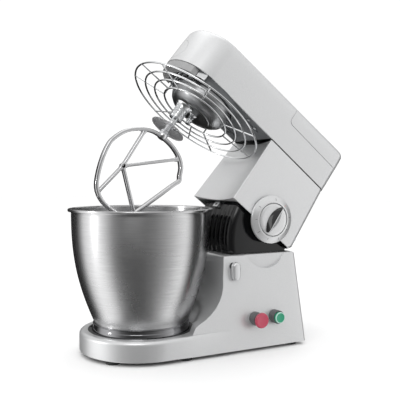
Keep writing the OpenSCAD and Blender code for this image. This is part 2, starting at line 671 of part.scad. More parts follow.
// the belt's loop at a distance g from the pulleys
module belt_loop(g) {
  r1 = lay_pulley_r + g;
  r2 = motor_pulley_r + g;
  a = acos((r1 - r2) / (motor_x - lay_x));
  polygon(concat(arc(lay_x, 0, r1, a, 360 - a, 24), arc(motor_x, 0, r2, -a, a, 12)));
}

module drive_belt() color([0.08, 0.08, 0.08]) raised() translate([0, 0, belt_z]) linear_extrude(belt_w) difference() {
  belt_loop(2.2);
  belt_loop(0.35);
}

module hub_shaft() color([0.65, 0.65, 0.67]) raised() {
  rod(hub_shaft_r, hub_top, chassis_z + plate_h + 1);
  rod(hub_shaft_r + 3, gb_z - 2, gb_z - 0.3);
}

module hub_gear() color([0.6, 0.55, 0.4]) raised() difference() {
  gear(hub_teeth, gear_z, gear_h);
  rod(hub_shaft_r, gear_z - 1, gear_z + gear_h + 1);
}

module planet_hub() color([0.5, 0.5, 0.52]) raised() difference() {
  union() {
    rotate_extrude($fn = 96) polygon([
      [0, hub_bot], [30, hub_bot], [42, hub_bot + 4], [hub_r - 5, hub_bot + 12], [hub_r, hub_bot + 24],
      [hub_r, hub_top - 3], [hub_r - 3, hub_top], [0, hub_top]]);
    for (k = [0:4]) rod(k % 2 == 0 ? 6.5 : 5.6, hub_bot - 22 + k * 4, hub_bot - 18 + k * 4);
    rod(5, hub_bot - 3, hub_bot + 1);
  }
  at_planet() rod(spindle_r + 4, hub_bot - 1, hub_bot + 12);
  at_planet() rod(spindle_r + 4, hub_top - 10, hub_top + 1);
  at_planet() rod(spindle_r + 1, hub_bot, hub_top + 1);
}

module spindle_bushes() color([0.7, 0.55, 0.3]) raised() at_planet() for (z = [hub_bot, hub_top - 10])
  tube(spindle_r + 4, spindle_r + run_fit, z, z + (z == hub_bot ? 12 : 10));

module tool_socket() color([0.85, 0.85, 0.86]) raised() at_planet() difference() {
  union() {
    rod(socket_r, socket_bot, hub_bot - gap);
    rod(spindle_r, hub_bot - 1, ring_z + ring_h - 0.6);
  }
  rod(tool_shaft_r + 0.1, socket_bot - 1, socket_bot + 19);
  block([-socket_r - 1, -1.6, socket_bot - 1], [socket_r + 1, 1.6, socket_bot + 9]);
}

module planet_pinion() color([0.6, 0.55, 0.4]) raised() at_planet() difference() {
  rotate(planet_phase) gear(planet_teeth, ring_z + 0.5, ring_h - 1.5);
  rod(spindle_r, ring_z - 1, ring_z + ring_h + 1);
}

// ---- tool ----
module splash_disc() color([0.55, 0.55, 0.56, 0.6]) raised() at_planet() difference() {
  rotate_extrude() polygon([[0, disc_z + 1], [disc_r - 2, disc_z - 4], [disc_r, disc_z - 4.6], [disc_r, disc_z - 3],
                            [10, disc_z + 2.6], [8, disc_z + 6], [0, disc_z + 6]]);
  rod(tool_shaft_r, disc_z - 10, disc_z + 10);
}

module beater_shaft() color([0.85, 0.85, 0.86]) raised() at_planet() {
  rod(tool_shaft_r, beater_top - beater_bar - 1, socket_bot + 18);
  rod(8.5, beater_top, beater_top + 9);
  block([-socket_r - 1, -1.4, socket_bot + 2], [socket_r + 1, 1.4, socket_bot + 5]);
}

// the middle line of the beater's rim in its own plane; its lower part follows beater_bot
rim_top = beater_top - beater_bar / 2;
bs = (rim_top - beater_bot - beater_bar / 2) / 153.5;
function bz(h) = rim_top - h * bs;
beater_outline = [
  [0, bz(0)], [23, bz(0)], [45, bz(6)], [60, bz(17)], [68, bz(31)], [73, bz(37)], [67, bz(54)], [55, bz(90)],
  [44, bz(122)], [36, bz(138)], [22, bz(150)], [2, bz(153.5)], [-21, bz(151)], [-39, bz(140)], [-51, bz(121)],
  [-61, bz(96)], [-66, bz(75)], [-66, bz(60)], [-58, bz(37)], [-42, bz(18)], [-20, bz(4)]
];
beater_knot = [-25, bz(84)];
beater_bars = [[[-31, bz(12)], [-25, bz(84)]], [[-25, bz(84)], [-33, bz(147)]], [[-25, bz(84)], [48, bz(10)]],
               [[-25, bz(84)], [40, bz(136)]]];

module bar(p, q, w) translate(p) rotate(atan2(q[1] - p[1], q[0] - p[0])) translate([0, -w / 2]) square([norm(q - p), w]);

module k_beater() color([0.85, 0.85, 0.86]) raised() at_planet() difference() {
  translate([0, beater_depth / 2, 0]) rotate([90, 0, 0]) linear_extrude(beater_depth) union() {
    for (i = [0:len(beater_outline) - 1]) {
      bar(beater_outline[i], beater_outline[(i + 1) % len(beater_outline)], beater_bar);
      translate(beater_outline[i]) circle(r = beater_bar / 2 + 0.2, $fn = 24);
    }
    for (b = beater_bars) bar(b[0], b[1], beater_bar - 0.5);
    translate(beater_knot) circle(r = 6);
  }
  rod(tool_shaft_r, beater_top - beater_bar - 1, beater_top + 20);
}

// ---- guard ----
guard_ribs = [-12, 38, 62, 100, 150, 178, 205, 248, 305];
module wire_guard() color([0.8, 0.8, 0.82]) raised() {
  for (r = guard_rings) rotate_extrude($fn = 96) translate([r, guard_z]) circle(r = guard_wire / 2, $fn = 16);
  for (a = guard_ribs) rotate(a) translate([guard_rings[3] - 1, 0, guard_z]) rotate([0, 90, 0])
    cylinder(r = guard_wire / 2 - 0.3, h = guard_r - guard_rings[3] + 2, $fn = 16);
  for (a = [38, 150, 248]) rotate(a) translate([guard_rings[3], 0, guard_z])
    cylinder(r = guard_wire / 2 - 0.2, h = head_bot - 13 - guard_z, $fn = 16);
}

module guard_clamp() color([0.85, 0.86, 0.87]) raised() difference() {
  tube(guard_rings[3] + 9, hub_r + 4.6, head_bot - 11, head_bot);
  block([-40, -200, head_bot - 20], [200, 200, head_bot + 1]);
}

module guard_catch() color([0.05, 0.05, 0.05]) raised() {
  rotate(205) translate([hub_r + 10.5, 0, 0]) rod(4, head_bot - 17, head_bot - 11);
  rotate(200 + guard_twist) block([hub_r + 6, -6, head_bot - 16], [hub_r + 15, 6, head_bot - 11]);
}

panel_screws = [[92, 46], [92, -46], [70, 52], [70, -52]];
module head_screws() color([0.5, 0.5, 0.5]) raised()
  for (p = panel_screws) screw(p[0], p[1], head_bot, 9);

// ---- controls and outlets ----
module dial_ring() color([0.75, 0.76, 0.77]) raised() difference() {
  translate([knob_x, dial_y, knob_z]) rotate([90, 0, 0]) rotate_extrude($fn = 96)
    polygon([[0, 0], [dial_r, 0], [dial_r, 5], [knob_r + 3, 9.5], [knob_r + 1, 9.5], [knob_r + 1, 2], [0, 2]]);
  y_rod(5, knob_x, knob_z, -100, -50);
}

module speed_knob() color([0.82, 0.82, 0.83]) raised() difference() {
  union() {
    translate([knob_x, dial_y - 2 - gap, knob_z]) rotate([90, 0, 0]) rotate_extrude($fn = 96)
      polygon([[0, 0], [knob_r, 0], [knob_r, 7.5], [knob_r - 1.5, 8.5], [0, 8.5]]);
    translate([knob_x, dial_y - 10, knob_z]) rotate([90, -93, 0]) linear_extrude(9)
      intersection() {
        translate([0, -27]) circle(r = 38);
        translate([0, 27]) circle(r = 38);
      }
  }
  y_rod(3, knob_x, knob_z, dial_y - 9, dial_y);
}

module knob_shaft() color([0.6, 0.6, 0.62]) raised()
  y_rod(3, knob_x, knob_z, dial_y - 9, -neck_half - 6);

module speed_board() color([0.1, 0.35, 0.2]) raised() difference() {
  union() {
    block([knob_x - 24, -neck_half - 5, knob_z - 10], [knob_x + 24, -neck_half - 3.4, knob_z + 34]);
    y_rod(9, knob_x, knob_z, -neck_half - 8, -neck_half - 5);
  }
  y_rod(3 + run_fit, knob_x, knob_z, -100, -neck_half);
}

module slow_outlet() color([0.5, 0.5, 0.52]) raised() translate([head_front, 0, seam_z + 28]) rotate([0, 90, 0])
  difference() {
    union() {
      rod(19.5, 4, 22);
      rod(22.5, 10, 14);
    }
    rod(slow_bore_r, 3, 18);
  }

module slow_outlet_cover() color([0.76, 0.77, 0.78]) raised() difference() {
  intersection() {
    head_solid(0, head_bot, head_top);
    translate([head_front - 1, 0, seam_z + 28]) rotate([0, 90, 0]) cylinder(r = 20 - gap, h = 8);
  }
  translate([head_front + 3.3, 0, seam_z + 28]) rotate([0, 90, 0]) cylinder(r = 22, h = 30);
}

module latch_strike() color([0.6, 0.6, 0.62]) raised() difference() {
  union() {
    block([strike_x, -8, ped_top - 8], [strike_x + 4, 8, col_bot + 30]);
    block([col_front + 10, -8, col_bot + 22], [strike_x + 1, 8, col_bot + 30]);
  }
  block([strike_x - 1, -4, ped_top - 5], [strike_x + 5, 4, ped_top - 1]);
}

base_housing();
base_plate();
rubber_feet();
base_screws();
bowl_seat();
hinge_neck();
hinge_pin();
button_collars();
switch_block();
power_board();
mains_filter();
cord_inlet();
lever_bush();
stop_button();
start_button();
head_lever();
latch_hook();
latch_spring();
mixing_bowl();
bowl_foot();
column_shell();
head_shell();
seam_gasket();
head_underside();
nose_chin();
hinge_brackets();
head_chassis();
gearbox_housing();
ring_gear();
gearbox_bearings();
layshaft_bearings();
stator();
motor_bells();
motor_bearings();
brush_gear();
speed_board();
dial_ring();
outlet_deck();
guard_clamp();
guard_catch();
head_screws();
drive_belt();
slow_outlet();
latch_strike();
speed_knob();
knob_shaft();
high_outlet_cover();
slow_outlet_cover();
wire_guard();
planet_hub();
hub_shaft();
hub_gear();
spindle_bushes();
tool_socket();
planet_pinion();
splash_disc();
beater_shaft();
k_beater();
layshaft();
armature();
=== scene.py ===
"""Builds the looks of a tilt-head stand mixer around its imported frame, and the stage it stands on."""

import json
import math

import bmesh
import bpy
from bpy.props import FloatProperty, FloatVectorProperty, IntProperty, PointerProperty
from mathutils import Matrix, Vector


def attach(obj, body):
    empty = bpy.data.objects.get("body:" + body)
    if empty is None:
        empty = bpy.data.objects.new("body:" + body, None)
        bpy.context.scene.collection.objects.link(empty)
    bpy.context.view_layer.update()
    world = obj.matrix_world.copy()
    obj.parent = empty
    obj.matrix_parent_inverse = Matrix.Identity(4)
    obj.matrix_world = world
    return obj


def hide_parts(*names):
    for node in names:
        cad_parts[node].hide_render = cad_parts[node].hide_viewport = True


bl_info = {
    "name": "Tilt-head stand mixer",
    "version": (1, 0, 0),
    "blender": (4, 5, 0),
    "location": "3D View > Sidebar > Mixer",
    "description": "Builds a stand mixer with a raised head around its packed frame",
    "category": "Add Mesh",
}

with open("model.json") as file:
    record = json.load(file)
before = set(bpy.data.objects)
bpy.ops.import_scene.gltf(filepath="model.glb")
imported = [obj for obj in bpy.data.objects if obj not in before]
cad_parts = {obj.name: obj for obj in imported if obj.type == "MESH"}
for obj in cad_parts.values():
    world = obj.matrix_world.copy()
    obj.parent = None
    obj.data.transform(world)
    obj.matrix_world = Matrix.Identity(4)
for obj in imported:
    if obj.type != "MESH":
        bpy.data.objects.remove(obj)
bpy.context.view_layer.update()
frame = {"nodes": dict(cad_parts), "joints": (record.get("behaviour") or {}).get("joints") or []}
JOINTS = {j["name"]: j for j in frame["joints"]}

# ---- places, in millimetres, with the head lowered and the bowl's axis at x = 0 ----
ROW_X = JOINTS["bowl_twist"]["pos_m"][0]
TILT = math.radians(-JOINTS["head_tilt"]["range_deg"][0])
PIVOT = Vector(JOINTS["head_tilt"]["pos_m"])
PIVOT_X = 1000 * (PIVOT.x - ROW_X)
PIVOT_Z = 1000 * PIVOT.z
TO_METRES = Matrix.Scale(0.001, 4)
PLACED = Matrix.Translation((ROW_X, 0, 0)) @ TO_METRES
RAISED = (Matrix.Translation(PIVOT) @ Matrix.Rotation(TILT, 4, "Y")
          @ Matrix.Translation((-PIVOT_X / 1000, 0, -PIVOT_Z / 1000)) @ TO_METRES)

# head, above the seam
SEAM_Z = 298.0
HEAD_WALL = 3.0
HEAD_RISE = 0.025
HEAD_FRONT = -92.0
HEAD_REAR = 276.2
HEAD_HALF = 63.0
HEAD_CORNER = 14.0
STRAIGHT_Z = 345.5
NOSE_OUTLET_Z = 324.0
COVER_FRONT = 134.5
# column, below the seam
COL_LOW = 164.0
COL_HIGH = 296.0
COL_FRONT = 121.0
COL_REAR = 279.2
COL_HALF = 71.5
COL_WALL = 2.2
COL_HOLLOW = 8.5
# pedestal
PED_TOP = 161.5
PED_FRONT = 120.0
PED_REAR = 271.0
PED_HALF = 72.0
PED_HALF_LOW = 103.0
PED_MIDDLE = 195.0
PED_CORNER = 7.0
# platform, its sweep up into the pedestal, and the room for the bowl
FOOT_H = 6.0
PLAT_TOP = 40.0
PLAT_R = 104.0
SWEEP_END = 46.0
SWEEP_RISE = 77.0
SWEEP_RUN = 100.0
WELL_R = 90.0
WELL_ROOM = 90.5
BOWL_ROOM = 124.0
# hinge neck
NECK_R = 129.0
NECK_HALF = 59.0
# dial, buttons and lever
KNOB_X = 205.0
KNOB_Z = 180.7
DISH_R = 44.5
DIAL_Y = -71.7
GRIP_TURN = 93.0
STOP_X = 170.0
START_X = 210.0
BUTTON_Z = 54.5
LEVER_X = 137.2
LEVER_Z = 143.0
# guard and tool
GUARD_Z = 257.0
TOOL_TOP = 184.0
ORBIT = 25.0
PLANET_TURN = math.radians(190)
PLANET_AT = Vector((ORBIT * math.cos(PLANET_TURN), ORBIT * math.sin(PLANET_TURN), 0))
PLANET = RAISED @ Matrix.Translation(PLANET_AT)


# ---- mesh helpers ----
SAME_PLACE = 2e-7
ON_AXIS = 1e-6


def new_mesh(name, verts, faces, matrix=None, sharp=35.0):
    """An object from points and faces, smooth-shaded with edges sharper than an angle kept."""
    mesh = bpy.data.meshes.new(name)
    mesh.from_pydata([tuple(v) for v in verts], [], faces)
    if matrix is not None:
        mesh.transform(matrix)
    bm = bmesh.new()
    bm.from_mesh(mesh)
    bmesh.ops.remove_doubles(bm, verts=bm.verts, dist=SAME_PLACE)
    bmesh.ops.recalc_face_normals(bm, faces=bm.faces)
    bm.to_mesh(mesh)
    bm.free()
    obj = bpy.data.objects.new(name, mesh)
    bpy.context.scene.collection.objects.link(obj)
    smooth(obj, sharp)
    return obj


def smooth(obj, sharp=35.0):
    """Smooth shading, with edges sharper than an angle kept."""
    for p in obj.data.polygons:
        p.use_smooth = True
    obj.data.set_sharp_from_angle(angle=math.radians(sharp))


def join(name, parts):
    """One object from several, which share its materials in order."""
    mesh = bpy.data.meshes.new(name)
    bm = bmesh.new()
    materials = []
    for part in parts:
        start = len(bm.faces)
        bm.from_mesh(part.data)
        bm.faces.ensure_lookup_table()
        slots = list(part.data.materials)
        for m in slots:
            if m not in materials:
                materials.append(m)
        for f in bm.faces[start:]:
            if slots:
                f.material_index = materials.index(slots[min(f.material_index, len(slots) - 1)])
        bpy.data.objects.remove(part)
    bm.to_mesh(mesh)
    bm.free()
    for m in materials:
        mesh.materials.append(m)
    obj = bpy.data.objects.new(name, mesh)
    bpy.context.scene.collection.objects.link(obj)
    return obj


def soften(obj, width, segments=3, angle=35.0):
    """Rounds the object's sharp edges; width is in millimetres."""
    b = obj.modifiers.new("round", "BEVEL")
    b.width = width / 1000
    b.segments = segments
    b.limit_method = "ANGLE"
    b.angle_limit = math.radians(angle)
    b.harden_normals = False
    b.use_clamp_overlap = True
    n = obj.modifiers.new("normals", "WEIGHTED_NORMAL")
    n.keep_sharp = False
    n.weight = 60
    bake(obj)
    for p in obj.data.polygons:
        p.use_smooth = True
    return obj


def bake(obj):
    """Applies the object's modifiers."""
    bpy.context.view_layer.update()
    made = bpy.data.meshes.new_from_object(obj.evaluated_get(bpy.context.evaluated_depsgraph_get()))
    obj.modifiers.clear()
    obj.data = made


def cut(obj, other, operation="DIFFERENCE"):
    """Boolean of obj with other, which is removed afterwards."""
    m = obj.modifiers.new("cut", "BOOLEAN")
    m.operation = operation
    m.solver = "EXACT"
    m.object = other
    bake(obj)
    bpy.data.objects.remove(other)
    if len(obj.data.polygons) < 4:
        raise RuntimeError(f"cutting {obj.name} left nothing")
    smooth(obj)
    return obj


def rings_mesh(name, rings, matrix, closed=False, sharp=35.0):
    """A skin over rings of points that all have the same count."""
    n = len(rings[0])
    verts = [p for ring in rings for p in ring]
    faces = []
    count = len(rings)
    for k in range(count if closed else count - 1):
        a, b = k * n, ((k + 1) % count) * n
        faces += [(a + i, a + (i + 1) % n, b + (i + 1) % n, b + i) for i in range(n)]
    if not closed:
        faces.append(tuple(range(n))[::-1])
        faces.append(tuple((count - 1) * n + i for i in range(n)))
    return new_mesh(name, verts, faces, matrix, sharp)


def revolve(name, profile, matrix, steps=96, sharp=35.0):
    """A solid of revolution about Z through (radius, height) points."""
    rings = []
    for k in range(steps):
        a = 2 * math.pi * k / steps
        rings.append([(r * math.cos(a), r * math.sin(a), z) for r, z in profile])
    n = len(profile)
    verts = [p for ring in rings for p in ring]
    faces = []
    for k in range(steps):
        a, b = k * n, ((k + 1) % steps) * n
        for i in range(n):
            j = (i + 1) % n
            starts_on_axis, ends_on_axis = profile[i][0] < ON_AXIS, profile[j][0] < ON_AXIS
            if starts_on_axis and ends_on_axis:
                continue
            if starts_on_axis:
                faces.append((a + i, a + j, b + j))
            elif ends_on_axis:
                faces.append((a + i, a + j, b + i))
            else:
                faces.append((a + i, a + j, b + j, b + i))
    return new_mesh(name, verts, faces, matrix, sharp)


def along_y(x, y, z):
    """Places a revolved solid with its axis along -Y, its base at (x, y, z)."""
    return Matrix.Translation((x, y, z)) @ Matrix.Rotation(math.pi / 2, 4, "X")


def prism(name, points, y0, y1, matrix):
    """A plate with an (x, z) outline between two heights along Y."""
    n = len(points)
    verts = [(p[0], y0, p[1]) for p in points] + [(p[0], y1, p[1]) for p in points]
    faces = [(i, (i + 1) % n, n + (i + 1) % n, n + i) for i in range(n)]
    faces += [tuple(range(n))[::-1], tuple(range(n, 2 * n))]
    return new_mesh(name, verts, faces, matrix)


def slab(name, points, z0, z1, matrix):
    """A plate with an (x, y) outline between two heights."""
    return rings_mesh(name, [[(p[0], p[1], z) for p in points] for z in (z0, z1)], matrix)


def box_mesh(name, low, high, matrix):
    """A box between two corners."""
    outline = [(low[0], low[1]), (high[0], low[1]), (high[0], high[1]), (low[0], high[1])]
    return slab(name, outline, low[2], high[2], matrix)


def tube(name, path, radius, matrix, closed=False, sides=14):
    """A round bar along a path; radius is a number or one for each point."""
    points = [Vector(p) for p in path]
    n = len(points)
    rings = []
    side = None
    for i, p in enumerate(points):
        ahead = points[(i + 1) % n] if closed or i < n - 1 else points[i]
        behind = points[i - 1] if closed or i > 0 else points[i]
        along = (ahead - behind).normalized()
        if side is None:
            side = along.orthogonal().normalized()
        side = (side - along * side.dot(along)).normalized()
        other = along.cross(side)
        r = radius[i] if isinstance(radius, (list, tuple)) else radius
        rings.append([tuple(p + r * (math.cos(t) * side + math.sin(t) * other))
                      for t in (2 * math.pi * k / sides for k in range(sides))])
    return rings_mesh(name, rings, matrix, closed=closed, sharp=60)


def strip(name, path, widths, depth, matrix, closed=False, corner=1.8):
    """A bar with rounded edges along an (x, z) path, as deep as depth along Y."""
    n = len(path)
    rings = []
    for i, p in enumerate(path):
        ahead = path[(i + 1) % n] if closed or i < n - 1 else path[i]
        behind = path[i - 1] if closed or i > 0 else path[i]
        along = Vector((ahead[0] - behind[0], ahead[1] - behind[1])).normalized()
        across = Vector((-along.y, along.x))
        w = (widths[i] if isinstance(widths, (list, tuple)) else widths) / 2
        h = depth / 2
        ring = []
        for cx, cy, a0 in ((w - corner, h - corner, 0), (corner - w, h - corner, 90),
                           (corner - w, corner - h, 180), (w - corner, corner - h, 270)):
            for s in range(4):
                a = math.radians(a0 + 30 * s)
                u, v = cx + corner * math.cos(a), cy + corner * math.sin(a)
                ring.append((p[0] + across.x * u, v, p[1] + across.y * u))
        rings.append(ring)
    return rings_mesh(name, rings, matrix, closed=closed, sharp=60)


def arc(cx, cy, r, a0, a1, n):
    """Points round a centre from one angle to another, in degrees."""
    return [(cx + r * math.cos(math.radians(a0 + (a1 - a0) * i / n)),
             cy + r * math.sin(math.radians(a0 + (a1 - a0) * i / n))) for i in range(n + 1)]


def spline(points, per=8, closed=True):
    """Points along a smooth curve through the given ones."""
    n = len(points)
    out = []
    for i in range(n if closed else n - 1):
        p = [Vector(points[(i + k) % n] if closed else points[min(max(i + k, 0), n - 1)])
             for k in (-1, 0, 1, 2)]
        for s in range(per):
            t = s / per
            straight = 2 * p[1] + (p[2] - p[0]) * t
            bend = (2 * p[0] - 5 * p[1] + 4 * p[2] - p[3]) * t * t
            out.append(tuple(0.5 * (straight + bend + (3 * p[1] - p[0] - 3 * p[2] + p[3]) * t ** 3)))
    if not closed:
        out.append(tuple(points[-1]))
    return out


def piece(obj, body, slot, material, *nodes):
    """Gives a made piece its finish, its body and the nodes that it stands for."""
    if material is not None and not obj.data.materials:
        obj.data.materials.append(material)
    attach(obj, body)
    if nodes:
        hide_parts(*nodes)
    return obj


# ---- finishes ----
class Nodes:
    """A small helper for building one material's node tree."""

    def __init__(self, name):
        self.material = bpy.data.materials.new(name)
        self.material.use_nodes = True
        self.tree = self.material.node_tree
        self.tree.nodes.clear()
        self.out = self.add("ShaderNodeOutputMaterial")
        self.shader = self.add("ShaderNodeBsdfPrincipled")
        self.join(self.shader, "BSDF", self.out, "Surface")
        self.where = self.add("ShaderNodeTexCoord")

    def add(self, kind, **values):
        node = self.tree.nodes.new(kind)
        for key, value in values.items():
            setattr(node, key, value)
        return node

    def join(self, a, out, b, into):
        """Links an output of one node to an input of another."""
        self.tree.links.new(a.outputs[out], b.inputs[into])

    def set(self, **values):
        """Sets the shader's own inputs."""
        for key, value in values.items():
            self.shader.inputs[key.replace("_", " ")].default_value = value

    def noise(self, scale, detail=3.0, rough=0.55, stretch=(1, 1, 1), source=None):
        """Fractal noise in the object's own space, or over the vector that source gives."""
        mapping = self.add("ShaderNodeMapping")
        mapping.inputs["Scale"].default_value = stretch
        if source is None:
            self.join(self.where, "Object", mapping, "Vector")
        else:
            self.tree.links.new(source, mapping.inputs["Vector"])
        noise = self.add("ShaderNodeTexNoise")
        noise.inputs["Scale"].default_value = scale
        noise.inputs["Detail"].default_value = detail
        noise.inputs["Roughness"].default_value = rough
        self.join(mapping, "Vector", noise, "Vector")
        return noise

    def spread(self, node, out, low, high, into):
        """Maps a value onto low to high in one of the shader's inputs."""
        m = self.add("ShaderNodeMapRange")
        m.inputs["From Min"].default_value, m.inputs["From Max"].default_value = 0.3, 0.7
        m.inputs["To Min"].default_value, m.inputs["To Max"].default_value = low, high
        self.join(node, out, m, "Value")
        self.join(m, "Result", self.shader, into)

    def tint(self, node, out, a, b, ends=(0.3, 0.7)):
        """Maps a value onto the colours from a to b."""
        ramp = self.add("ShaderNodeValToRGB")
        ramp.color_ramp.elements[0].position, ramp.color_ramp.elements[1].position = ends
        ramp.color_ramp.elements[0].color = (*a, 1)
        ramp.color_ramp.elements[1].color = (*b, 1)
        self.join(node, out, ramp, "Fac")
        return ramp

    def bump(self, node, out, strength, distance):
        """Raises the surface by a value."""
        b = self.add("ShaderNodeBump")
        b.inputs["Strength"].default_value = strength
        b.inputs["Distance"].default_value = distance
        self.join(node, out, b, "Height")
        self.join(b, "Normal", self.shader, "Normal")


def shade(colour, by):
    """The colour made lighter or darker."""
    return tuple(max(0.0, min(1.0, c * by)) for c in colour)


def painted_metal(name, colour, metal, rough, flake=0.08):
    """Satin metallic lacquer: fine flakes, faint cloudiness and a thin clear coat."""
    m = Nodes(name)
    flakes = m.noise(2600, 1.0, 0.4)
    cloud = m.noise(9, 2.0)
    ramp = m.tint(flakes, "Fac", shade(colour, 1 - flake), shade(colour, 1 + flake), (0.35, 0.65))
    tone = m.tint(cloud, "Fac", shade((1, 1, 1), 0.975), (1, 1, 1))
    mix = m.add("ShaderNodeMixRGB", blend_type="MULTIPLY")
    mix.inputs["Fac"].default_value = 1.0
    m.join(ramp, "Color", mix, "Color1")
    m.join(tone, "Color", mix, "Color2")
    m.join(mix, "Color", m.shader, "Base Color")
    m.spread(cloud, "Fac", rough - 0.02, rough + 0.03, "Roughness")
    m.bump(m.noise(900, 2.0), "Fac", 0.06, 0.0002)
    m.set(Metallic=metal, Coat_Weight=0.12, Coat_Roughness=0.25, Specular_IOR_Level=0.5)
    return m.material


def plain_plastic(name, colour, rough, grain=700, depth=0.2, coat=0.0, vary=0.12):
    """Moulded plastic with a fine grain and slight wear in its sheen."""
    m = Nodes(name)
    fine = m.noise(grain, 3.0)
    patches = m.noise(14, 3.0)
    ramp = m.tint(patches, "Fac", shade(colour, 1 - vary), shade(colour, 1 + vary))
    m.join(ramp, "Color", m.shader, "Base Color")
    m.spread(patches, "Fac", max(0.02, rough - 0.05), rough + 0.05, "Roughness")
    m.bump(fine, "Fac", depth, 0.0003)
    m.set(Coat_Weight=coat, Coat_Roughness=0.04)
    return m.material


def bare_metal(name, colour, rough, stretch=(1, 1, 1), grain=400, depth=0.08, vary=0.06, spot=0.04):
    """Machined or cast metal: tool marks along one way, uneven sheen."""
    m = Nodes(name)
    marks = m.noise(grain, 3.0, stretch=stretch)
    patches = m.noise(35, 4.0)
    ramp = m.tint(patches, "Fac", shade(colour, 1 - vary), shade(colour, 1 + vary))
    m.join(ramp, "Color", m.shader, "Base Color")
    m.spread(marks, "Fac", max(0.02, rough - spot), rough + spot, "Roughness")
    m.bump(marks, "Fac", depth, 0.0003)
    m.set(Metallic=1.0)
    return m.material


def turned_metal(name, colour, rough, aniso, lines=2200, depth=0.12, vary=0.1, centre=(0, 0, 0), axis=None):
    """Metal brushed round an axis through centre: the lines run round it."""
    m = Nodes(name)
    shift = m.add("ShaderNodeMapping")
    shift.vector_type = "POINT"
    shift.inputs["Location"].default_value = [-c for c in centre]
    m.join(m.where, "Object", shift, "Vector")
    source = shift.outputs["Vector"]
    if axis is not None:
        turn = m.add("ShaderNodeMapping")
        turn.inputs["Rotation"].default_value = axis
        m.tree.links.new(source, turn.inputs["Vector"])
        source = turn.outputs["Vector"]
    split = m.add("ShaderNodeSeparateXYZ")
    m.tree.links.new(source, split.inputs["Vector"])
    angle = m.add("ShaderNodeMath", operation="ARCTAN2")
    m.join(split, "Y", angle, 0)
    m.join(split, "X", angle, 1)
    radius = m.add("ShaderNodeVectorMath", operation="LENGTH")
    flat = m.add("ShaderNodeCombineXYZ")
    m.join(split, "X", flat, "X")
    m.join(split, "Y", flat, "Y")
    m.join(flat, "Vector", radius, 0)
    wrap = m.add("ShaderNodeCombineXYZ")
    m.join(angle, "Value", wrap, "X")
    m.join(radius, "Value", wrap, "Y")
    m.join(split, "Z", wrap, "Z")
    brush = m.noise(1.0, 2.0, 0.6, (3.0, lines, lines), wrap.outputs["Vector"])
    broad = m.noise(1.0, 3.0, 0.5, (1.2, 14, 14), wrap.outputs["Vector"])
    ramp = m.tint(brush, "Fac", shade(colour, 1 - vary), shade(colour, 1 + vary))
    m.join(ramp, "Color", m.shader, "Base Color")
    m.spread(broad, "Fac", rough - 0.03, rough + 0.04, "Roughness")
    m.bump(brush, "Fac", depth, 0.0001)
    tangent = m.add("ShaderNodeTangent", direction_type="RADIAL", axis="Z")
    m.join(tangent, "Tangent", m.shader, "Tangent")
    m.set(Metallic=1.0, Anisotropic=aniso, Anisotropic_Rotation=0.25)
    return m.material


def rubber(name, colour):
    """Matt rubber with a little dust in its grain."""
    m = Nodes(name)
    fine = m.noise(900, 4.0)
    dust = m.noise(60, 5.0)
    ramp = m.tint(dust, "Fac", shade(colour, 0.8), shade(colour, 1.5), (0.4, 0.75))
    m.join(ramp, "Color", m.shader, "Base Color")
    m.spread(dust, "Fac", 0.6, 0.8, "Roughness")
    m.bump(fine, "Fac", 0.35, 0.0004)
    return m.material


def smoked_plastic(name, colour):
    """Translucent moulded disc with a faint swirl."""
    m = Nodes(name)
    swirl = m.noise(40, 2.0)
    ramp = m.tint(swirl, "Fac", shade(colour, 0.93), shade(colour, 1.07))
    m.join(ramp, "Color", m.shader, "Base Color")
    m.spread(swirl, "Fac", 0.12, 0.2, "Roughness")
    m.bump(m.noise(500, 2.0), "Fac", 0.06, 0.0003)
    m.set(Transmission_Weight=0.85, IOR=1.2, Coat_Weight=0.3, Coat_Roughness=0.05)
    return m.material


def coils(name, colour):
    """Enamelled wire laid side by side."""
    m = Nodes(name)
    wave = m.add("ShaderNodeTexWave", wave_type="BANDS", bands_direction="Z")
    wave.inputs["Scale"].default_value = 500
    wave.inputs["Distortion"].default_value = 1.5
    m.join(m.where, "Object", wave, "Vector")
    ramp = m.tint(wave, "Fac", shade(colour, 0.5), colour, (0.1, 0.7))
    m.join(ramp, "Color", m.shader, "Base Color")
    m.bump(wave, "Fac", 0.5, 0.0005)
    m.spread(m.noise(80), "Fac", 0.25, 0.4, "Roughness")
    m.set(Metallic=0.7)
    return m.material


def circuit_board(name, colour):
    """Coated board with copper tracks showing through the lacquer."""
    m = Nodes(name)
    tracks = m.add("ShaderNodeTexBrick")
    tracks.inputs["Scale"].default_value = 120
    tracks.inputs["Mortar Size"].default_value = 0.06
    tracks.inputs["Color1"].default_value = (*colour, 1)
    tracks.inputs["Color2"].default_value = (*shade(colour, 0.85), 1)
    tracks.inputs["Mortar"].default_value = (*shade(colour, 1.9), 1)
    m.join(m.where, "Object", tracks, "Vector")
    m.join(tracks, "Color", m.shader, "Base Color")
    m.bump(tracks, "Fac", 0.2, 0.0003)
    m.spread(m.noise(60), "Fac", 0.3, 0.45, "Roughness")
    return m.material


FINISH = {}


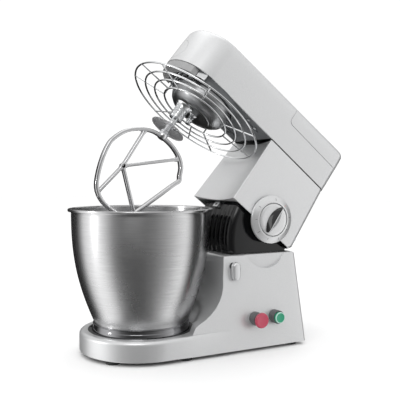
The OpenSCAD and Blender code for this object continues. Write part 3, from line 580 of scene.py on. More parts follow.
def finishes(colours):
    """Makes every finish once."""
    if FINISH:
        return FINISH
    bowl_axis = (ROW_X, 0, 0)
    hub = RAISED @ Vector((0, 0, 260))
    FINISH.update(
        paint=painted_metal("silver_paint", tuple(colours.paint), 0.72, 0.34),
        trim=painted_metal("silver_trim", tuple(colours.trim), 0.75, 0.3),
        chin=painted_metal("chin_paint", shade(tuple(colours.trim), 0.5), 0.6, 0.35),
        black=plain_plastic("black_gloss", tuple(colours.neck), 0.08, 300, 0.02, 0.25, 0.05),
        dark=plain_plastic("dark_plastic", (0.03, 0.03, 0.032), 0.4),
        under=plain_plastic("underside_grey", tuple(colours.underside), 0.42, 900, 0.25),
        # the button collars are real parts, but their dark grey paints the shadow round the buttons
        collar=plain_plastic("collar_painted_shadow_grey", (0.1, 0.1, 0.105), 0.35),
        rubber=rubber("black_rubber", (0.025, 0.025, 0.026)),
        bowl=turned_metal("brushed_steel", tuple(colours.bowl), 0.26, 0.85, centre=bowl_axis),
        foot=turned_metal("foot_steel", (0.3, 0.3, 0.31), 0.1, 0.4, centre=bowl_axis),
        hub=turned_metal("hub_metal", tuple(colours.hub), 0.3, 0.6, lines=900, centre=tuple(hub),
                         axis=(0, -TILT, 0)),
        chrome=bare_metal("chrome", (0.86, 0.87, 0.88), 0.1, grain=60, depth=0.004, vary=0.02, spot=0.02),
        polish=bare_metal("polished_aluminium", (0.8, 0.8, 0.81), 0.14, grain=90, depth=0.03, vary=0.04),
        steel=bare_metal("steel", (0.6, 0.61, 0.62), 0.25, (1, 1, 6)),
        cast=bare_metal("cast_aluminium", (0.6, 0.61, 0.63), 0.45, grain=250, depth=0.35),
        gear=bare_metal("gear_steel", (0.42, 0.42, 0.43), 0.3, (1, 1, 8), 300, 0.15),
        bronze=bare_metal("bronze", (0.7, 0.5, 0.28), 0.35, (1, 1, 5)),
        iron=bare_metal("laminated_iron", (0.3, 0.3, 0.31), 0.5, (1, 1, 30), 120, 0.4),
        coils=coils("winding", (0.62, 0.3, 0.12)),
        board=circuit_board("board_green", (0.04, 0.2, 0.1)),
        red=plain_plastic("red_button", tuple(colours.stop), 0.28, 500, 0.08, 0.3, 0.06),
        green=plain_plastic("green_button", tuple(colours.start), 0.28, 500, 0.08, 0.3, 0.06),
        pale=plain_plastic("pale_green", (0.45, 0.68, 0.6), 0.3, 500, 0.05, 0.2, 0.05),
        smoke=smoked_plastic("smoked_plastic", (0.72, 0.72, 0.73)),
        mark=plain_plastic("dial_mark", (0.12, 0.12, 0.13), 0.5, 400, 0.05),
        red_mark=plain_plastic("dial_mark_red", (0.6, 0.08, 0.06), 0.5, 400, 0.05),
    )
    return FINISH


# ---- sizes and colours that a user would change ----
class MixerSizes(bpy.types.PropertyGroup):
    edge_round: FloatProperty(name="Edge rounding", description="Rounding of the cast shells' edges",
                              default=0.0022, min=0.0005, max=0.005, subtype="DISTANCE", unit="LENGTH")
    platform_round: FloatProperty(name="Platform rounding", description="Rounding of the platform's top edge",
                                  default=0.007, min=0.002, max=0.012, subtype="DISTANCE", unit="LENGTH")
    wire: FloatProperty(name="Guard wire", description="Thickness of the guard's wires",
                        default=0.0032, min=0.002, max=0.005, subtype="DISTANCE", unit="LENGTH")
    rim: FloatProperty(name="Bowl rim radius", description="Radius of the bowl's rolled rim",
                       default=0.122, min=0.11, max=0.124, subtype="DISTANCE", unit="LENGTH")
    beater_bar: FloatProperty(name="Beater bar", description="Width of the beater's bars",
                              default=0.006, min=0.004, max=0.008, subtype="DISTANCE", unit="LENGTH")
    ticks: IntProperty(name="Dial marks", description="Number of marks round the dial",
                       default=9, min=3, max=16)


def colour_prop(name, text, value):
    """A colour that the user can change."""
    return FloatVectorProperty(name=name, description=text, default=value, min=0, max=1, subtype="COLOR")


class MixerColours(bpy.types.PropertyGroup):
    paint: colour_prop("Shell", "Lacquer of the head, column and base", (0.76, 0.765, 0.77))
    trim: colour_prop("Trim", "Dial, lever and small covers", (0.8, 0.805, 0.81))
    bowl: colour_prop("Bowl", "Brushed steel of the bowl", (0.66, 0.66, 0.665))
    hub: colour_prop("Hub", "Satin metal of the planetary hub", (0.36, 0.365, 0.37))
    neck: colour_prop("Neck", "Gloss plastic of the hinge neck", (0.004, 0.004, 0.0045))
    underside: colour_prop("Underside", "Panel under the head", (0.1, 0.105, 0.11))
    stop: colour_prop("Stop button", "Colour of the stop button", (0.42, 0.05, 0.09))
    start: colour_prop("Start button", "Colour of the start button", (0.02, 0.27, 0.15))


class Builder(bpy.types.Operator):
    """Shared parts of the mixer's operators"""
    bl_options = {"REGISTER", "UNDO"}

    @classmethod
    def poll(cls, context):
        return hasattr(context.scene, "mixer_sizes")

    def execute(self, context):
        self.build(context.scene.mixer_sizes, finishes(context.scene.mixer_colours))
        return {"FINISHED"}


# ---- base ----
def ped_half(z):
    """Half the pedestal's width at a height."""
    return PED_HALF + (PED_TOP - z) * (PED_HALF_LOW - PED_HALF) / (PED_TOP - FOOT_H)


def base_ring(z, front, rounding, morph):
    """A level of the base: the round-nosed platform where morph is 0, the pedestal's hollow front at 1."""
    half = ped_half(z)
    nose_r = PLAT_R - rounding
    n_front, n_side = 48, 14
    rear = PED_REAR + 2.4 * (PED_TOP - z) / (PED_TOP - FOOT_H)
    corner = PED_CORNER
    share = (z - PLAT_TOP) / (PED_TOP - PLAT_TOP)
    lean = PED_FRONT + 6 - 64 * (PED_TOP - z) / (PED_TOP - SWEEP_END)
    ring = []
    for i in range(n_front + 1):
        a = 90 + 180 * i / n_front
        nose = (nose_r * math.cos(math.radians(a)), nose_r * math.sin(math.radians(a)))
        t = 1 - 2 * i / n_front
        y = t * (half - rounding)
        room = math.sqrt(max(0.0, (WELL_ROOM + (BOWL_ROOM - WELL_ROOM) * share) ** 2 - y * y))
        hollow = lean - y * y / 864
        flat = (max(front, room, hollow), y)
        ring.append((nose[0] * (1 - morph) + flat[0] * morph, nose[1] * (1 - morph) + flat[1] * morph, z))
    start = ring[-1][0]
    for s in (-1, 1):
        xs = [start + (rear - corner - start) * i / n_side for i in range(1, n_side + 1)]
        side = []
        for x in xs:
            k = min(1.0, max(0.0, x / PED_FRONT))
            k = k * k * (3 - 2 * k)
            w = (1 - morph) * ((PLAT_R - rounding * (1 - k)) * (1 - k) + half * k) + morph * half
            side.append((x, s * w, z))
        bend = []
        for a in (22.5, 45, 67.5, 90):
            bend.append((rear - corner + corner * math.sin(math.radians(a)),
                         s * (half - corner + corner * math.cos(math.radians(a))), z))
        ring += side + bend if s < 0 else [(p[0], p[1], z) for p in reversed(side + bend)]
    return ring


class MIXER_OT_base(Builder):
    """Platform and pedestal in one casting, with the well and the dial's dish"""
    bl_idname = "mixer.base"
    bl_label = "Base casting"

    def build(self, sizes, mat):
        r = 1000 * sizes.platform_round
        levels = [(FOOT_H, 2.0), (FOOT_H + 0.8, 0.8), (FOOT_H + 2.2, 0.0), (20, 0.0), (PLAT_TOP - r, 0.0)]
        levels += [(PLAT_TOP - r + r * math.sin(math.radians(a)), r * (1 - math.cos(math.radians(a))))
                   for a in (18, 36, 54, 72, 90)]
        rings = [base_ring(z, 0, inset, 0.0) for z, inset in levels]
        rings += [base_ring(PLAT_TOP + h, x, 0.0, 1.0) for x, h in ((-40, 0), (-22, 2.2), (-4, 4.6))]
        for a in range(90, -1, -9):
            x = PED_FRONT - 5 - SWEEP_RUN * (1 - math.cos(math.radians(a)))
            rings.append(base_ring(SWEEP_END + SWEEP_RISE * (1 - math.sin(math.radians(a))), x, 0.0, 1.0))
        sweep_top, sheer = SWEEP_END + SWEEP_RISE, PED_TOP - SWEEP_END - SWEEP_RISE - 3.5
        for i in range(1, 6):
            rings.append(base_ring(sweep_top + i * sheer / 5, PED_FRONT - 5 + i, 0.0, 1.0))
        for z, inset in ((PED_TOP - 1.6, 0.6), (PED_TOP - 0.5, 1.6), (PED_TOP, 3.5)):
            ring = base_ring(z, PED_FRONT, 0.0, 1.0)
            rings.append([(x + inset * (1 if x < PED_MIDDLE else -1), y * (1 - inset / PED_HALF), z)
                          for x, y, z in ring])
        body = rings_mesh("base_casting", rings, PLACED, sharp=50)
        cut(body, revolve("well", [(0, 9), (WELL_R, 9), (WELL_R, 60), (0, 60)], PLACED, 128))
        at_dish = PLACED @ along_y(KNOB_X, -70.5, KNOB_Z)
        cut(body, revolve("dish", [(0, 0), (DISH_R, 0), (DISH_R, 40), (0, 40)], at_dish, 96))
        cut(body, box_mesh("slot", (130, -10, 148), (142, 10, 170), PLACED))
        soften(body, 0.9, 2, 55)
        piece(body, "base", "silver_paint", mat["paint"], "base_housing")


class MIXER_OT_neck(Builder):
    """Gloss drum that the head turns on"""
    bl_idname = "mixer.neck"
    bl_label = "Hinge neck"

    def build(self, sizes, mat):
        corner = 13.0
        wall, root = 4, PED_TOP + 4
        section = [(3.0, NECK_HALF), (NECK_R * 0.3, NECK_HALF), (NECK_R * 0.6, NECK_HALF)]
        section += arc(NECK_R - corner, NECK_HALF - corner, corner, 90, 0, 8)
        for k in range(5):
            for a in range(-80, 81, 16):
                section.append((NECK_R - 3.2 * (1 - math.cos(math.radians(a))),
                                34 - 17 * k - 8.2 * math.sin(math.radians(a))))
        section += arc(NECK_R - corner, corner - NECK_HALF, corner, 0, -90, 8)
        section += [(NECK_R * 0.6, -NECK_HALF), (NECK_R * 0.3, -NECK_HALF), (3.0, -NECK_HALF)]
        rings = []
        for i in range(41):
            a = math.radians(-70 + 100 * i / 40)
            rings.append([(PIVOT_X - r * math.cos(a), y, max(PED_TOP - 0.6, PIVOT_Z + r * math.sin(a)))
                          for r, y in section])
        drum = rings_mesh("hinge_drum", rings, PLACED, sharp=50)
        room, side, on_pin = NECK_R - 5, NECK_HALF - wall, PLACED @ along_y(PIVOT_X, 0, PIVOT_Z)
        inner = revolve("room", [(0, -side), (room, -side), (room, side), (0, side)], on_pin, 96)
        cut(inner, box_mesh("above", (100, -80, root), (300, 80, 330), PLACED), "INTERSECT")
        cut(drum, inner)
        boss = [(0, -NECK_HALF), (6.2, -NECK_HALF), (6.2, NECK_HALF), (0, NECK_HALF)]
        skirt_front, skirt_rear, low, high = PED_FRONT + 22, PED_REAR - 14, PED_TOP - 0.4, PED_TOP + 1.2
        outline = [(skirt_front, low), (skirt_rear, low), (skirt_rear, high), (skirt_front, high)]
        skirt = prism("skirt", outline, -61.5, 61.5, PLACED)
        neck = join("hinge_neck_skin", [drum, revolve("boss", boss, on_pin, 48), soften(skirt, 0.5, 2)])
        piece(neck, "base", "black_gloss", mat["black"], "hinge_neck")


# ---- bowl ----
class MIXER_OT_bowl(Builder):
    """Brushed steel bowl with a rolled rim, on its polished foot"""
    bl_idname = "mixer.bowl"
    bl_label = "Bowl"

    def build(self, sizes, mat):
        rim = 1000 * sizes.rim
        under, foot_in, rim_z, t = rim - 5.5, 79.5, 243.0, 1.2
        side = []
        for i in range(33):
            s = i / 32
            bulge = max(0.0, math.cos(math.radians(90 * s ** 1.3))) ** 0.95
            side.append((foot_in + (under - foot_in) * bulge, rim_z - 4 - s * (rim_z - 4 - 54)))
        outside = side + [(foot_in, 30), (foot_in - 4, 22), (foot_in - 12, 18), (0, 18)]
        inside = [(0, 18 + t), (foot_in - 12, 18 + t), (foot_in - 4 - t, 22 + t), (foot_in - t, 30)]
        inside += [(r - t, z) for r, z in reversed(side)]
        roll = [(under - t, rim_z - 1.5), (under - t + 0.6, rim_z - 0.4), (under + 1, rim_z),
                (rim - 1.4, rim_z), (rim - 0.4, rim_z - 0.5), (rim, rim_z - 1.5), (rim, rim_z - 3.6),
                (rim - 0.6, rim_z - 4.6), (rim - 1.6, rim_z - 4.2), (rim - 1.8, rim_z - 3),
                (under + 0.6, rim_z - 3)]
        bowl = revolve("bowl_skin", outside + inside + roll, PLACED, 160, 40)
        piece(bowl, "bowl", "bowl_steel", mat["bowl"], "mixing_bowl")
        ring = [(foot_in + 0.05, 14.3), (81.6, 14.3), (81.6, 44), (81.2, 45), (80.9, 45.6), (80.9, 50.2),
                (81.4, 50.8), (81.3, 51.6), (80.6, 52), (foot_in + 0.05, 52)]
        foot = [revolve("foot", ring, PLACED, 160, 30)]
        for k in range(3):
            lug = [(76, -11)] + arc(0, 0, 87, -8, 8, 8) + [(76, 11)]
            at = PLACED @ Matrix.Rotation(math.radians(120 * k), 4, "Z")
            foot.append(soften(slab("lug", lug, 17, 22, at), 0.8, 2))
        piece(join("bowl_foot_ring", foot), "bowl", "chrome", mat["foot"], "bowl_foot")


# ---- head ----
def column_ring(z, t=0.0):
    """A level of the column: hollow front, round rear corners; inset by t, its front is flat."""
    s = (z - COL_LOW) / (COL_HIGH - COL_LOW)
    front, half = COL_FRONT + 3 * s, COL_HALF + (HEAD_HALF - COL_HALF) * s - t
    rear = min(COL_REAR - 5 * s, COL_REAR - 6 + (z - COL_LOW) * 0.8) - t
    r, rf, n_front = 12.0 - t, 2.6, 14
    ring = arc(rear - r, half - r, r, 0, 90, 8)
    hollow = 0.0 if t > 0 else COL_HOLLOW
    front += t + COL_HOLLOW if t > 0 else 0.0
    ring += arc(front + rf, half - rf, rf, 90, 180, 4)
    for i in range(1, n_front):
        across = 1 - 2 * i / n_front
        ring.append((front + hollow * (1 - across ** 2), (half - rf) * across))
    ring += arc(front + rf, -half + rf, rf, 180, 270, 4)
    ring += arc(rear - r, -half + r, r, 270, 360, 8)
    return [(x, y, z) for x, y in ring]


# the head's section: height, how far the sides come in, how far the nose comes in
HEAD_LEVELS = ((320, 0.05, 0.0), (STRAIGHT_Z, 0.3, 0.3), (358, 0.5, 0.6), (367, 0.9, 1.1), (370, 1.8, 2.2),
               (372, 2.9, 3.6), (373.5, 4.2, 5.2), (374.7, 5.8, 7.1), (375.5, 7.3, 9.0), (376, 9.0, 11.0))


def head_ring(z, inset, nose, t=0.0, rise=0.0):
    """A level of the head: half-round nose, straight sides, round rear corners."""
    half = HEAD_HALF - inset - t
    front = HEAD_FRONT + nose + t
    rear = HEAD_REAR - inset - t
    r = max(2.0, HEAD_CORNER - t)
    ring = arc(rear - r, half - r, r, 0, 90, 8)
    straight = rear - r - front - half
    ring += [(rear - r - straight * i / 10, half) for i in range(1, 10)]
    ring += arc(front + half, 0, half, 90, 270, 48)
    ring += [(front + half + straight * i / 10, -half) for i in range(1, 10)]
    ring += arc(rear - r, -half + r, r, 270, 360, 8)
    return [(x, y, z + rise * x) for x, y in ring]


def head_form(name, t=0.0, low=SEAM_Z):
    """The head's solid form, inset by t, whose top rises a little to the rear."""
    rings = [head_ring(low, 0.0, 0.0, t)]
    for z, inset, nose in HEAD_LEVELS:
        rise = HEAD_RISE * max(0.0, min(1.0, (z - STRAIGHT_Z) / 21.5))
        rings.append(head_ring(z - t, inset, nose, t, rise))
    return rings_mesh(name, rings, RAISED, sharp=50)


def cover_outline(grow):
    """Side view of the rear outlet cover's zone."""
    x, z = COVER_FRONT - grow, STRAIGHT_Z - grow
    return [(300, z)] + arc(x + 9, z + 9, 9, 270, 180, 6) + [(x, 400), (300, 400)]


class MIXER_OT_column(Builder):
    """Column under the head, with its hollow front and the notch for the guard"""
    bl_idname = "mixer.column"
    bl_label = "Column shell"

    def build(self, sizes, mat):
        levels = [COL_LOW, COL_LOW + 3.5] + [COL_LOW + 7.5 + i * 17.7 for i in range(7)] + [COL_HIGH]
        shell = rings_mesh("column_skin", [column_ring(z) for z in levels], RAISED, sharp=50)
        inside = [COL_LOW - 3] + levels[1:-1] + [COL_HIGH - COL_WALL]
        cut(shell, rings_mesh("hollow", [column_ring(z, COL_WALL) for z in inside], RAISED, sharp=50))
        cut(shell, revolve("notch", [(0, 248), (130.5, 248), (130.5, 310), (0, 310)], RAISED, 160))
        soften(shell, 1000 * sizes.edge_round * 0.35, 2, 50)
        piece(shell, "head", "silver_paint", mat["paint"], "column_shell")


class MIXER_OT_head(Builder):
    """Head shell with the rear outlet cover and the nose outlet cover"""
    bl_idname = "mixer.head"
    bl_label = "Head and covers"

    def build(self, sizes, mat):
        nose_cut = [(0, 0), (20, 0), (20, 9), (0, 9)]
        forward = Matrix.Rotation(math.pi / 2, 4, "Y")
        at_nose = RAISED @ Matrix.Translation((HEAD_FRONT - 1, 0, NOSE_OUTLET_Z)) @ forward
        shell = head_form("head_skin")
        cut(shell, head_form("hollow", HEAD_WALL, SEAM_Z - 2))
        cut(shell, prism("zone", cover_outline(0.5), -80, 80, RAISED))
        cut(shell, revolve("outlet", nose_cut, at_nose, 64))
        soften(shell, 0.8, 2, 50)
        piece(shell, "head", "silver_paint", mat["paint"], "head_shell")

        cover = head_form("rear_cover")
        cut(cover, prism("zone", cover_outline(-0.1), -80, 80, RAISED), "INTERSECT")
        inner = head_form("hollow", HEAD_WALL, SEAM_Z - 2)
        cut(inner, prism("zone", cover_outline(-2.4), -80, 80, RAISED), "INTERSECT")
        cut(cover, inner)
        soften(cover, 0.8, 2, 50)
        piece(cover, "high_cover", "silver_paint", mat["paint"], "high_outlet_cover")

        nose = head_form("nose_cover")
        cut(nose, revolve("disc", [(0, 0), (19.6, 0), (19.6, 6.5), (0, 6.5)], at_nose, 64), "INTERSECT")
        soften(nose, 0.7, 2, 40)
        piece(nose, "slow_cover", "silver_trim", mat["trim"], "slow_outlet_cover")


class MIXER_OT_underside(Builder):
    """Panel, collar and chin under the head, and the clamp that holds the guard"""
    bl_idname = "mixer.underside"
    bl_label = "Head underside"

    def build(self, sizes, mat):
        outline = [p[:2] for p in head_ring(SEAM_Z, 3.2, 3.2)]
        outline = [(min(x, COL_FRONT + 2), y) for x, y in outline]
        panel = slab("panel", outline, SEAM_Z, SEAM_Z + 3, RAISED)
        cut(panel, revolve("hole", [(0, 290), (49, 290), (49, 310), (0, 310)], RAISED, 96))
        profile = [(58.4, 286), (61, 286.6), (61.2, 294), (63, 297), (64, SEAM_Z), (58.4, SEAM_Z)]
        collar = revolve("collar", profile, RAISED, 128)
        rib = [soften(box_mesh("rib", (66, y - 1.2, SEAM_Z - 2.5), (104, y + 1.2, SEAM_Z), RAISED), 0.5, 2)
               for y in (-40, 40)]
        piece(join("underside_panel", [panel, collar] + rib), "head", "underside_grey", mat["under"],
              "head_underside")

        outer = arc(-29, 0, 61.8, 127, 233, 30)
        chin = slab("chin_trim", outer + arc(0, 0, 74, 222, 138, 30), 284, SEAM_Z - 0.1, RAISED)
        piece(soften(chin, 1.2, 3), "head", "silver_trim", mat["chin"], "nose_chin")

        outer = arc(0, 0, 73.2, 124, 236, 36)
        clamp = slab("guard_clamp_ring", outer + arc(0, 0, 61.8, 230, 130, 36), 287, SEAM_Z, RAISED)
        piece(soften(clamp, 1.0, 3), "head", "chrome", mat["chrome"], "guard_clamp")

        a, b = math.radians(205), math.radians(222)
        knob = revolve("pull", [(0, 0), (2.4, 0), (3.9, 0.8), (4.2, 2.2), (3.2, 3.2), (3, 6), (0, 6)],
                       RAISED @ Matrix.Translation((67.5 * math.cos(a), 67.5 * math.sin(a), 281)), 32)
        at = RAISED @ Matrix.Rotation(b, 4, "Z")
        path = [(63.5, -6, 284.5), (64, -5, 281.8), (67, -2.6, 281.6), (68.5, 0, 284), (67, 2.6, 281.6),
                (64, 5, 281.8), (63.5, 6, 284.5)]
        clip = tube("clip", spline(path, 5, False), 1.3, at, sides=10)
        foot = soften(box_mesh("clip_foot", (63, -6.5, 284), (72, 6.5, 286.8), at), 0.6, 2)
        piece(join("guard_catches", [knob, clip, foot]), "head", "black_gloss", mat["black"], "guard_catch")


# ---- drive and tool ----
class MIXER_OT_hub(Builder):
    """Planetary hub, its small outlet stub and the tool's chrome socket"""
    bl_idname = "mixer.hub"
    bl_label = "Hub and socket"

    def build(self, sizes, mat):
        dome = [(0, 251), (14, 251), (28, 251.6), (38, 253.4), (46, 257.2), (52, 262.8), (55.4, 269),
                (56.8, 275), (57, 280), (57, 292.5), (55.5, 294.4), (53, 295.5), (0, 295.5)]
        hub = revolve("hub_dome", dome, RAISED, 128, 45)
        lip = revolve("lip", [(30, 251.7), (31, 251.2), (32.5, 251.4), (33, 252.6)], RAISED, 96, 60)
        stub = [(0, 232), (4.4, 232), (5.2, 232.8), (5.3, 235), (4.2, 235.6), (4.2, 237.6), (5.3, 238.2),
                (5.3, 241), (4.2, 241.6), (4.2, 243.6), (5.3, 244.2), (5.3, 247), (4.8, 247.6),
                (5.2, 249.4), (7.5, 251.2), (0, 251.2)]
        piece(join("hub_dome_skin", [hub, lip]), "hub", "hub_metal", mat["hub"], "planet_hub")
        piece(revolve("hub_stub", stub, RAISED, 48, 40), "hub", "chrome", mat["chrome"])
        flare = [(0, 221), (9.4, 221), (11.2, 221.6), (12, 222.8), (12, 239), (12.4, 243), (13.2, 247),
                 (14.6, 249.4), (16.6, 250.7), (0, 250.7)]
        socket = revolve("socket_skin", flare, PLANET, 64, 45)
        cut(socket, box_mesh("slot", (-14, -1.6, 219), (14, 1.6, 230), PLANET))
        cut(socket, revolve("bore", [(0, 219), (5.6, 219), (5.6, 240), (0, 240)], PLANET, 48))
        soften(socket, 0.35, 2, 50)
        piece(socket, "tool", "chrome", mat["chrome"], "tool_socket")


BEATER_RIM = ((0, 0), (23, 0), (45, 6), (60, 17), (68, 31), (72.4, 39), (67, 54), (55, 90), (44, 122),
              (36, 138), (22, 150), (2, 153.5), (-21, 151), (-39, 140), (-51, 121), (-61, 96), (-66, 75),
              (-66, 60), (-58, 37), (-42, 18), (-20, 4))
BEATER_KNOT = (-25, 84)
BEATER_ENDS = ((-31, 12), (-33, 147), (48, 10), (40, 134))


class MIXER_OT_beater(Builder):
    """K-shaped beater on its shaft, with the splash disc"""
    bl_idname = "mixer.beater"
    bl_label = "Beater and shaft"

    def build(self, sizes, mat):
        bar = 1000 * sizes.beater_bar
        top = TOOL_TOP - bar / 2
        rim = spline([(x, top - h) for x, h in BEATER_RIM], 6)
        parts = [strip("rim", rim, bar, 11, PLANET, True)]
        knot = (BEATER_KNOT[0], top - BEATER_KNOT[1])
        for x, h in BEATER_ENDS:
            end = (x, top - h)
            path, widths = [], []
            for i in range(25):
                path.append((knot[0] + (end[0] - knot[0]) * i / 24, knot[1] + (end[1] - knot[1]) * i / 24))
                at_knot, at_rim = max(0.0, 1 - i / 3.0), max(0.0, 1 - (24 - i) / 3.0)
                widths.append(bar - 0.8 + 5.0 * at_knot ** 2 + 4.0 * at_rim ** 2)
            parts.append(strip("bar", path, widths, 9.6, PLANET))
        boss = [(0, top - 4), (6.5, top - 3.6), (8.2, top - 1), (8.6, top + 2), (8.6, 184.5), (0, 184.5)]
        parts.append(revolve("boss", boss, PLANET, 48, 45))
        piece(join("beater_casting", parts), "tool", "polished_aluminium", mat["polish"], "k_beater")

        shaft = [(0, 184), (8.5, 184), (8.5, 191.5), (7.6, 193), (5.9, 193.6), (5.4, 195), (5.4, 209),
                 (6.4, 209.4), (6.4, 212), (5.4, 212.4), (5.4, 238), (4.6, 239), (0, 239)]
        post = revolve("post", shaft, PLANET, 48, 45)
        pin = tube("pin", [(-13, 0, 224.5), (13, 0, 224.5)], 1.5, PLANET)
        piece(join("beater_post", [post, pin]), "tool", "chrome", mat["chrome"], "beater_shaft")

        disc = [(5.4, 209), (8, 209), (9.2, 207.4), (10.4, 205.8), (16, 204.6), (30, 200.4), (31.6, 199.9),
                (32, 199.2), (31.8, 198.4), (30, 198.8), (16, 202.6), (5.4, 204)]
        piece(revolve("splash_disc_skin", disc, PLANET, 96, 45), "tool", "smoke_plastic", mat["smoke"],
              "splash_disc")


GUARD_RIBS = (-12, 38, 62, 100, 150, 178, 205, 248, 305)
GUARD_POSTS = (38, 150, 248)
# a weld's bead along the ring: how far from its middle, and its thickness against the wire's
GUARD_WELD = ((-4, 0.55), (-2.4, 0.85), (-1, 1.12), (0, 1.22), (1, 1.12), (2.4, 0.85), (4, 0.55))


class MIXER_OT_guard(Builder):
    """Wire guard: four rings welded to radial wires and three posts"""
    bl_idname = "mixer.guard"
    bl_label = "Wire guard"

    def build(self, sizes, mat):
        w = 500 * sizes.wire
        radii = (126.4, 104.8, 84.9, 64.2)
        parts = []
        for r in radii:
            round_ring = [(x, y, GUARD_Z) for x, y in arc(0, 0, r, 0, 360, 128)[:-1]]
            parts.append(tube("ring", round_ring, w, RAISED, True))
        for a in GUARD_RIBS:
            c, s = math.cos(math.radians(a)), math.sin(math.radians(a))
            radial = [(c * r, s * r, GUARD_Z) for r in (radii[3] - 1, radii[1], radii[0] + 1.2)]
            parts.append(tube("rib", radial, w - 0.3, RAISED))
            for r in radii:
                weld = [(c * r - s * d * 0.7, s * r + c * d * 0.7, GUARD_Z) for d, _ in GUARD_WELD]
                parts.append(tube("weld", weld, [w * k for _, k in GUARD_WELD], RAISED, sides=10))
        for a in GUARD_POSTS:
            c, s = math.cos(math.radians(a)), math.sin(math.radians(a))
            post = [(c * radii[3], s * radii[3], z) for z in (GUARD_Z, 270, 285)]
            parts.append(tube("post", post, w - 0.2, RAISED))
        piece(join("guard_wires", parts), "guard", "chrome", mat["chrome"], "wire_guard")


# ---- controls ----
class MIXER_OT_dial(Builder):
    """Scale ring with its marks, and the turning knob with its grip"""
    bl_idname = "mixer.dial"
    bl_label = "Speed dial"

    def build(self, sizes, mat):
        at = RAISED @ along_y(KNOB_X, DIAL_Y, KNOB_Z)
        ring = [(0, 0), (41.6, 0), (42.2, 0.8), (42.2, 3.8), (41.6, 4.8), (40.6, 5.3), (32.4, 9.1),
                (31.5, 9.4), (30, 9.4), (29.5, 8.8), (29.5, 2), (0, 2)]
        parts = [revolve("scale", ring, at, 128, 32)]
        parts[0].data.materials.append(mat["trim"])
        for k in range(sizes.ticks):
            a = math.radians(150 - 300 * k / (sizes.ticks - 1))
            turn = at @ Matrix.Rotation(a - math.radians(32), 4, "Z")
            near, far = 33.6, 33.6 + (2.6 if k % 2 else 4.4)
            mark = ((near, -0.35), (far, -0.35), (far, 0.35), (near, 0.35))
            rings = [[(x, y, 5.35 + (40.6 - x) * 0.463 + h) for x, y in mark] for h in (-0.3, 0.12)]
            tick = rings_mesh("tick", rings, turn)
            tick.data.materials.append(mat["red_mark" if k == 1 else "mark"])
            parts.append(tick)
        piece(join("dial_scale", parts), "head", "silver_trim", None, "dial_ring")

        knob = [(0, 2.3), (27.6, 2.3), (28.4, 3.2), (28.5, 8.4), (27.8, 9.6), (26.4, 10.2), (22, 10.4),
                (0, 10.4)]
        face = revolve("face", knob, at, 96, 32)
        face.data.materials.append(mat["trim"])
        grip = self.grip(at @ Matrix.Rotation(math.radians(GRIP_TURN), 4, "Z"))
        grip.data.materials.append(mat["trim"])
        # a second slot, black gloss, paints the shade on the grip's side away from the light
        grip.data.materials.append(mat["black"])
        bpy.context.view_layer.update()
        # faces away from the light take the black gloss: painted shade on the silver grip
        for p in grip.data.polygons:
            p.material_index = 1 if self.on_shaded_side(p.center, at) else 0
        piece(join("knob_with_grip", [face, grip]), "knob", "silver_trim", None, "speed_knob")

    @staticmethod
    def on_shaded_side(centre, at):
        """Whether a face of the grip looks away from the light; such faces get black gloss as painted shade.
        """
        local = at.inverted() @ Vector(centre)
        local.rotate(Matrix.Rotation(math.radians(-GRIP_TURN), 3, "Z"))
        return local.y > 0.2

    @staticmethod
    def grip(matrix):
        """A lens-shaped ridge: its outline narrows to a crest."""
        rings = []
        for h, k in ((9.5, 1.0), (11.5, 1.0), (14.5, 0.72), (17.0, 0.3), (18.0, 0.14), (18.3, 0.04)):
            shrink = 0.995 if h > 15 else 1.0
            top = []
            for a in range(0, 181, 6):
                x = 26.4 * math.cos(math.radians(a))
                y = (math.sqrt(max(0.0, 38 ** 2 - x * x)) - 27.2) * k
                top.append((x * shrink, max(y, 0.25 * k), h))
            rings.append(top + [(x, -y, h) for x, y, _ in top[-2:0:-1]])
        return rings_mesh("grip", rings, matrix, sharp=28)


class MIXER_OT_buttons(Builder):
    """Collars, stop button and start button"""
    bl_idname = "mixer.buttons"
    bl_label = "Buttons"

    def build(self, sizes, mat):
        wall = ped_half(BUTTON_Z)
        at_stop, at_start = (PLACED @ along_y(x, -wall, BUTTON_Z) for x in (STOP_X, START_X))
        collars = []
        for at, lip in ((at_stop, [(11.5, 12.6), (10.8, 13.6), (9.9, 13.9), (9.2, 13.4), (9.2, 6)]),
                        (at_start, [(11.5, 13.2), (11.1, 13.9), (10.2, 14), (9.8, 13.4), (9.8, 6)])):
            ring = [(6.6, -11), (9.4, -11), (9.5, -1), (11.5, -1)] + lip + [(6.6, 6)]
            collars.append(revolve("collar", ring, at, 64, 40))
        # the collars' dark grey finish is painted shadow round the buttons
        piece(join("collars", collars), "base", "dark_plastic", mat["collar"], "button_collars")
        stop = [(0, -12), (6, -12), (6, 17.4), (11, 17.6), (12.4, 18), (13, 19), (13, 21.6), (12.5, 22.8),
                (11.4, 23.6), (10.2, 23.9), (9.2, 23.6), (7, 23.1), (0, 22.9)]
        piece(revolve("stop_cap", stop, at_stop, 72, 40), "stop_button", "red_button", mat["red"],
              "stop_button")
        start = [(0, -12), (6, -12), (6, 11.6), (9.5, 12), (9.5, 17.4), (9.1, 18.4), (8.2, 18.9), (7.4, 18.5),
                 (6.4, 18.1), (0, 17.9)]
        cap = revolve("start_cap", start, at_start, 72, 40)
        cap.data.materials.append(mat["green"])
        edge = [(7.6, 18.4), (8.2, 18.95), (9.15, 18.5), (9.55, 17.4), (9.0, 17.0)]
        band = revolve("band", edge, at_start, 72, 40)
        band.data.materials.append(mat["pale"])
        piece(join("start_cap_skin", [cap, band]), "start_button", "green_button", None, "start_button")


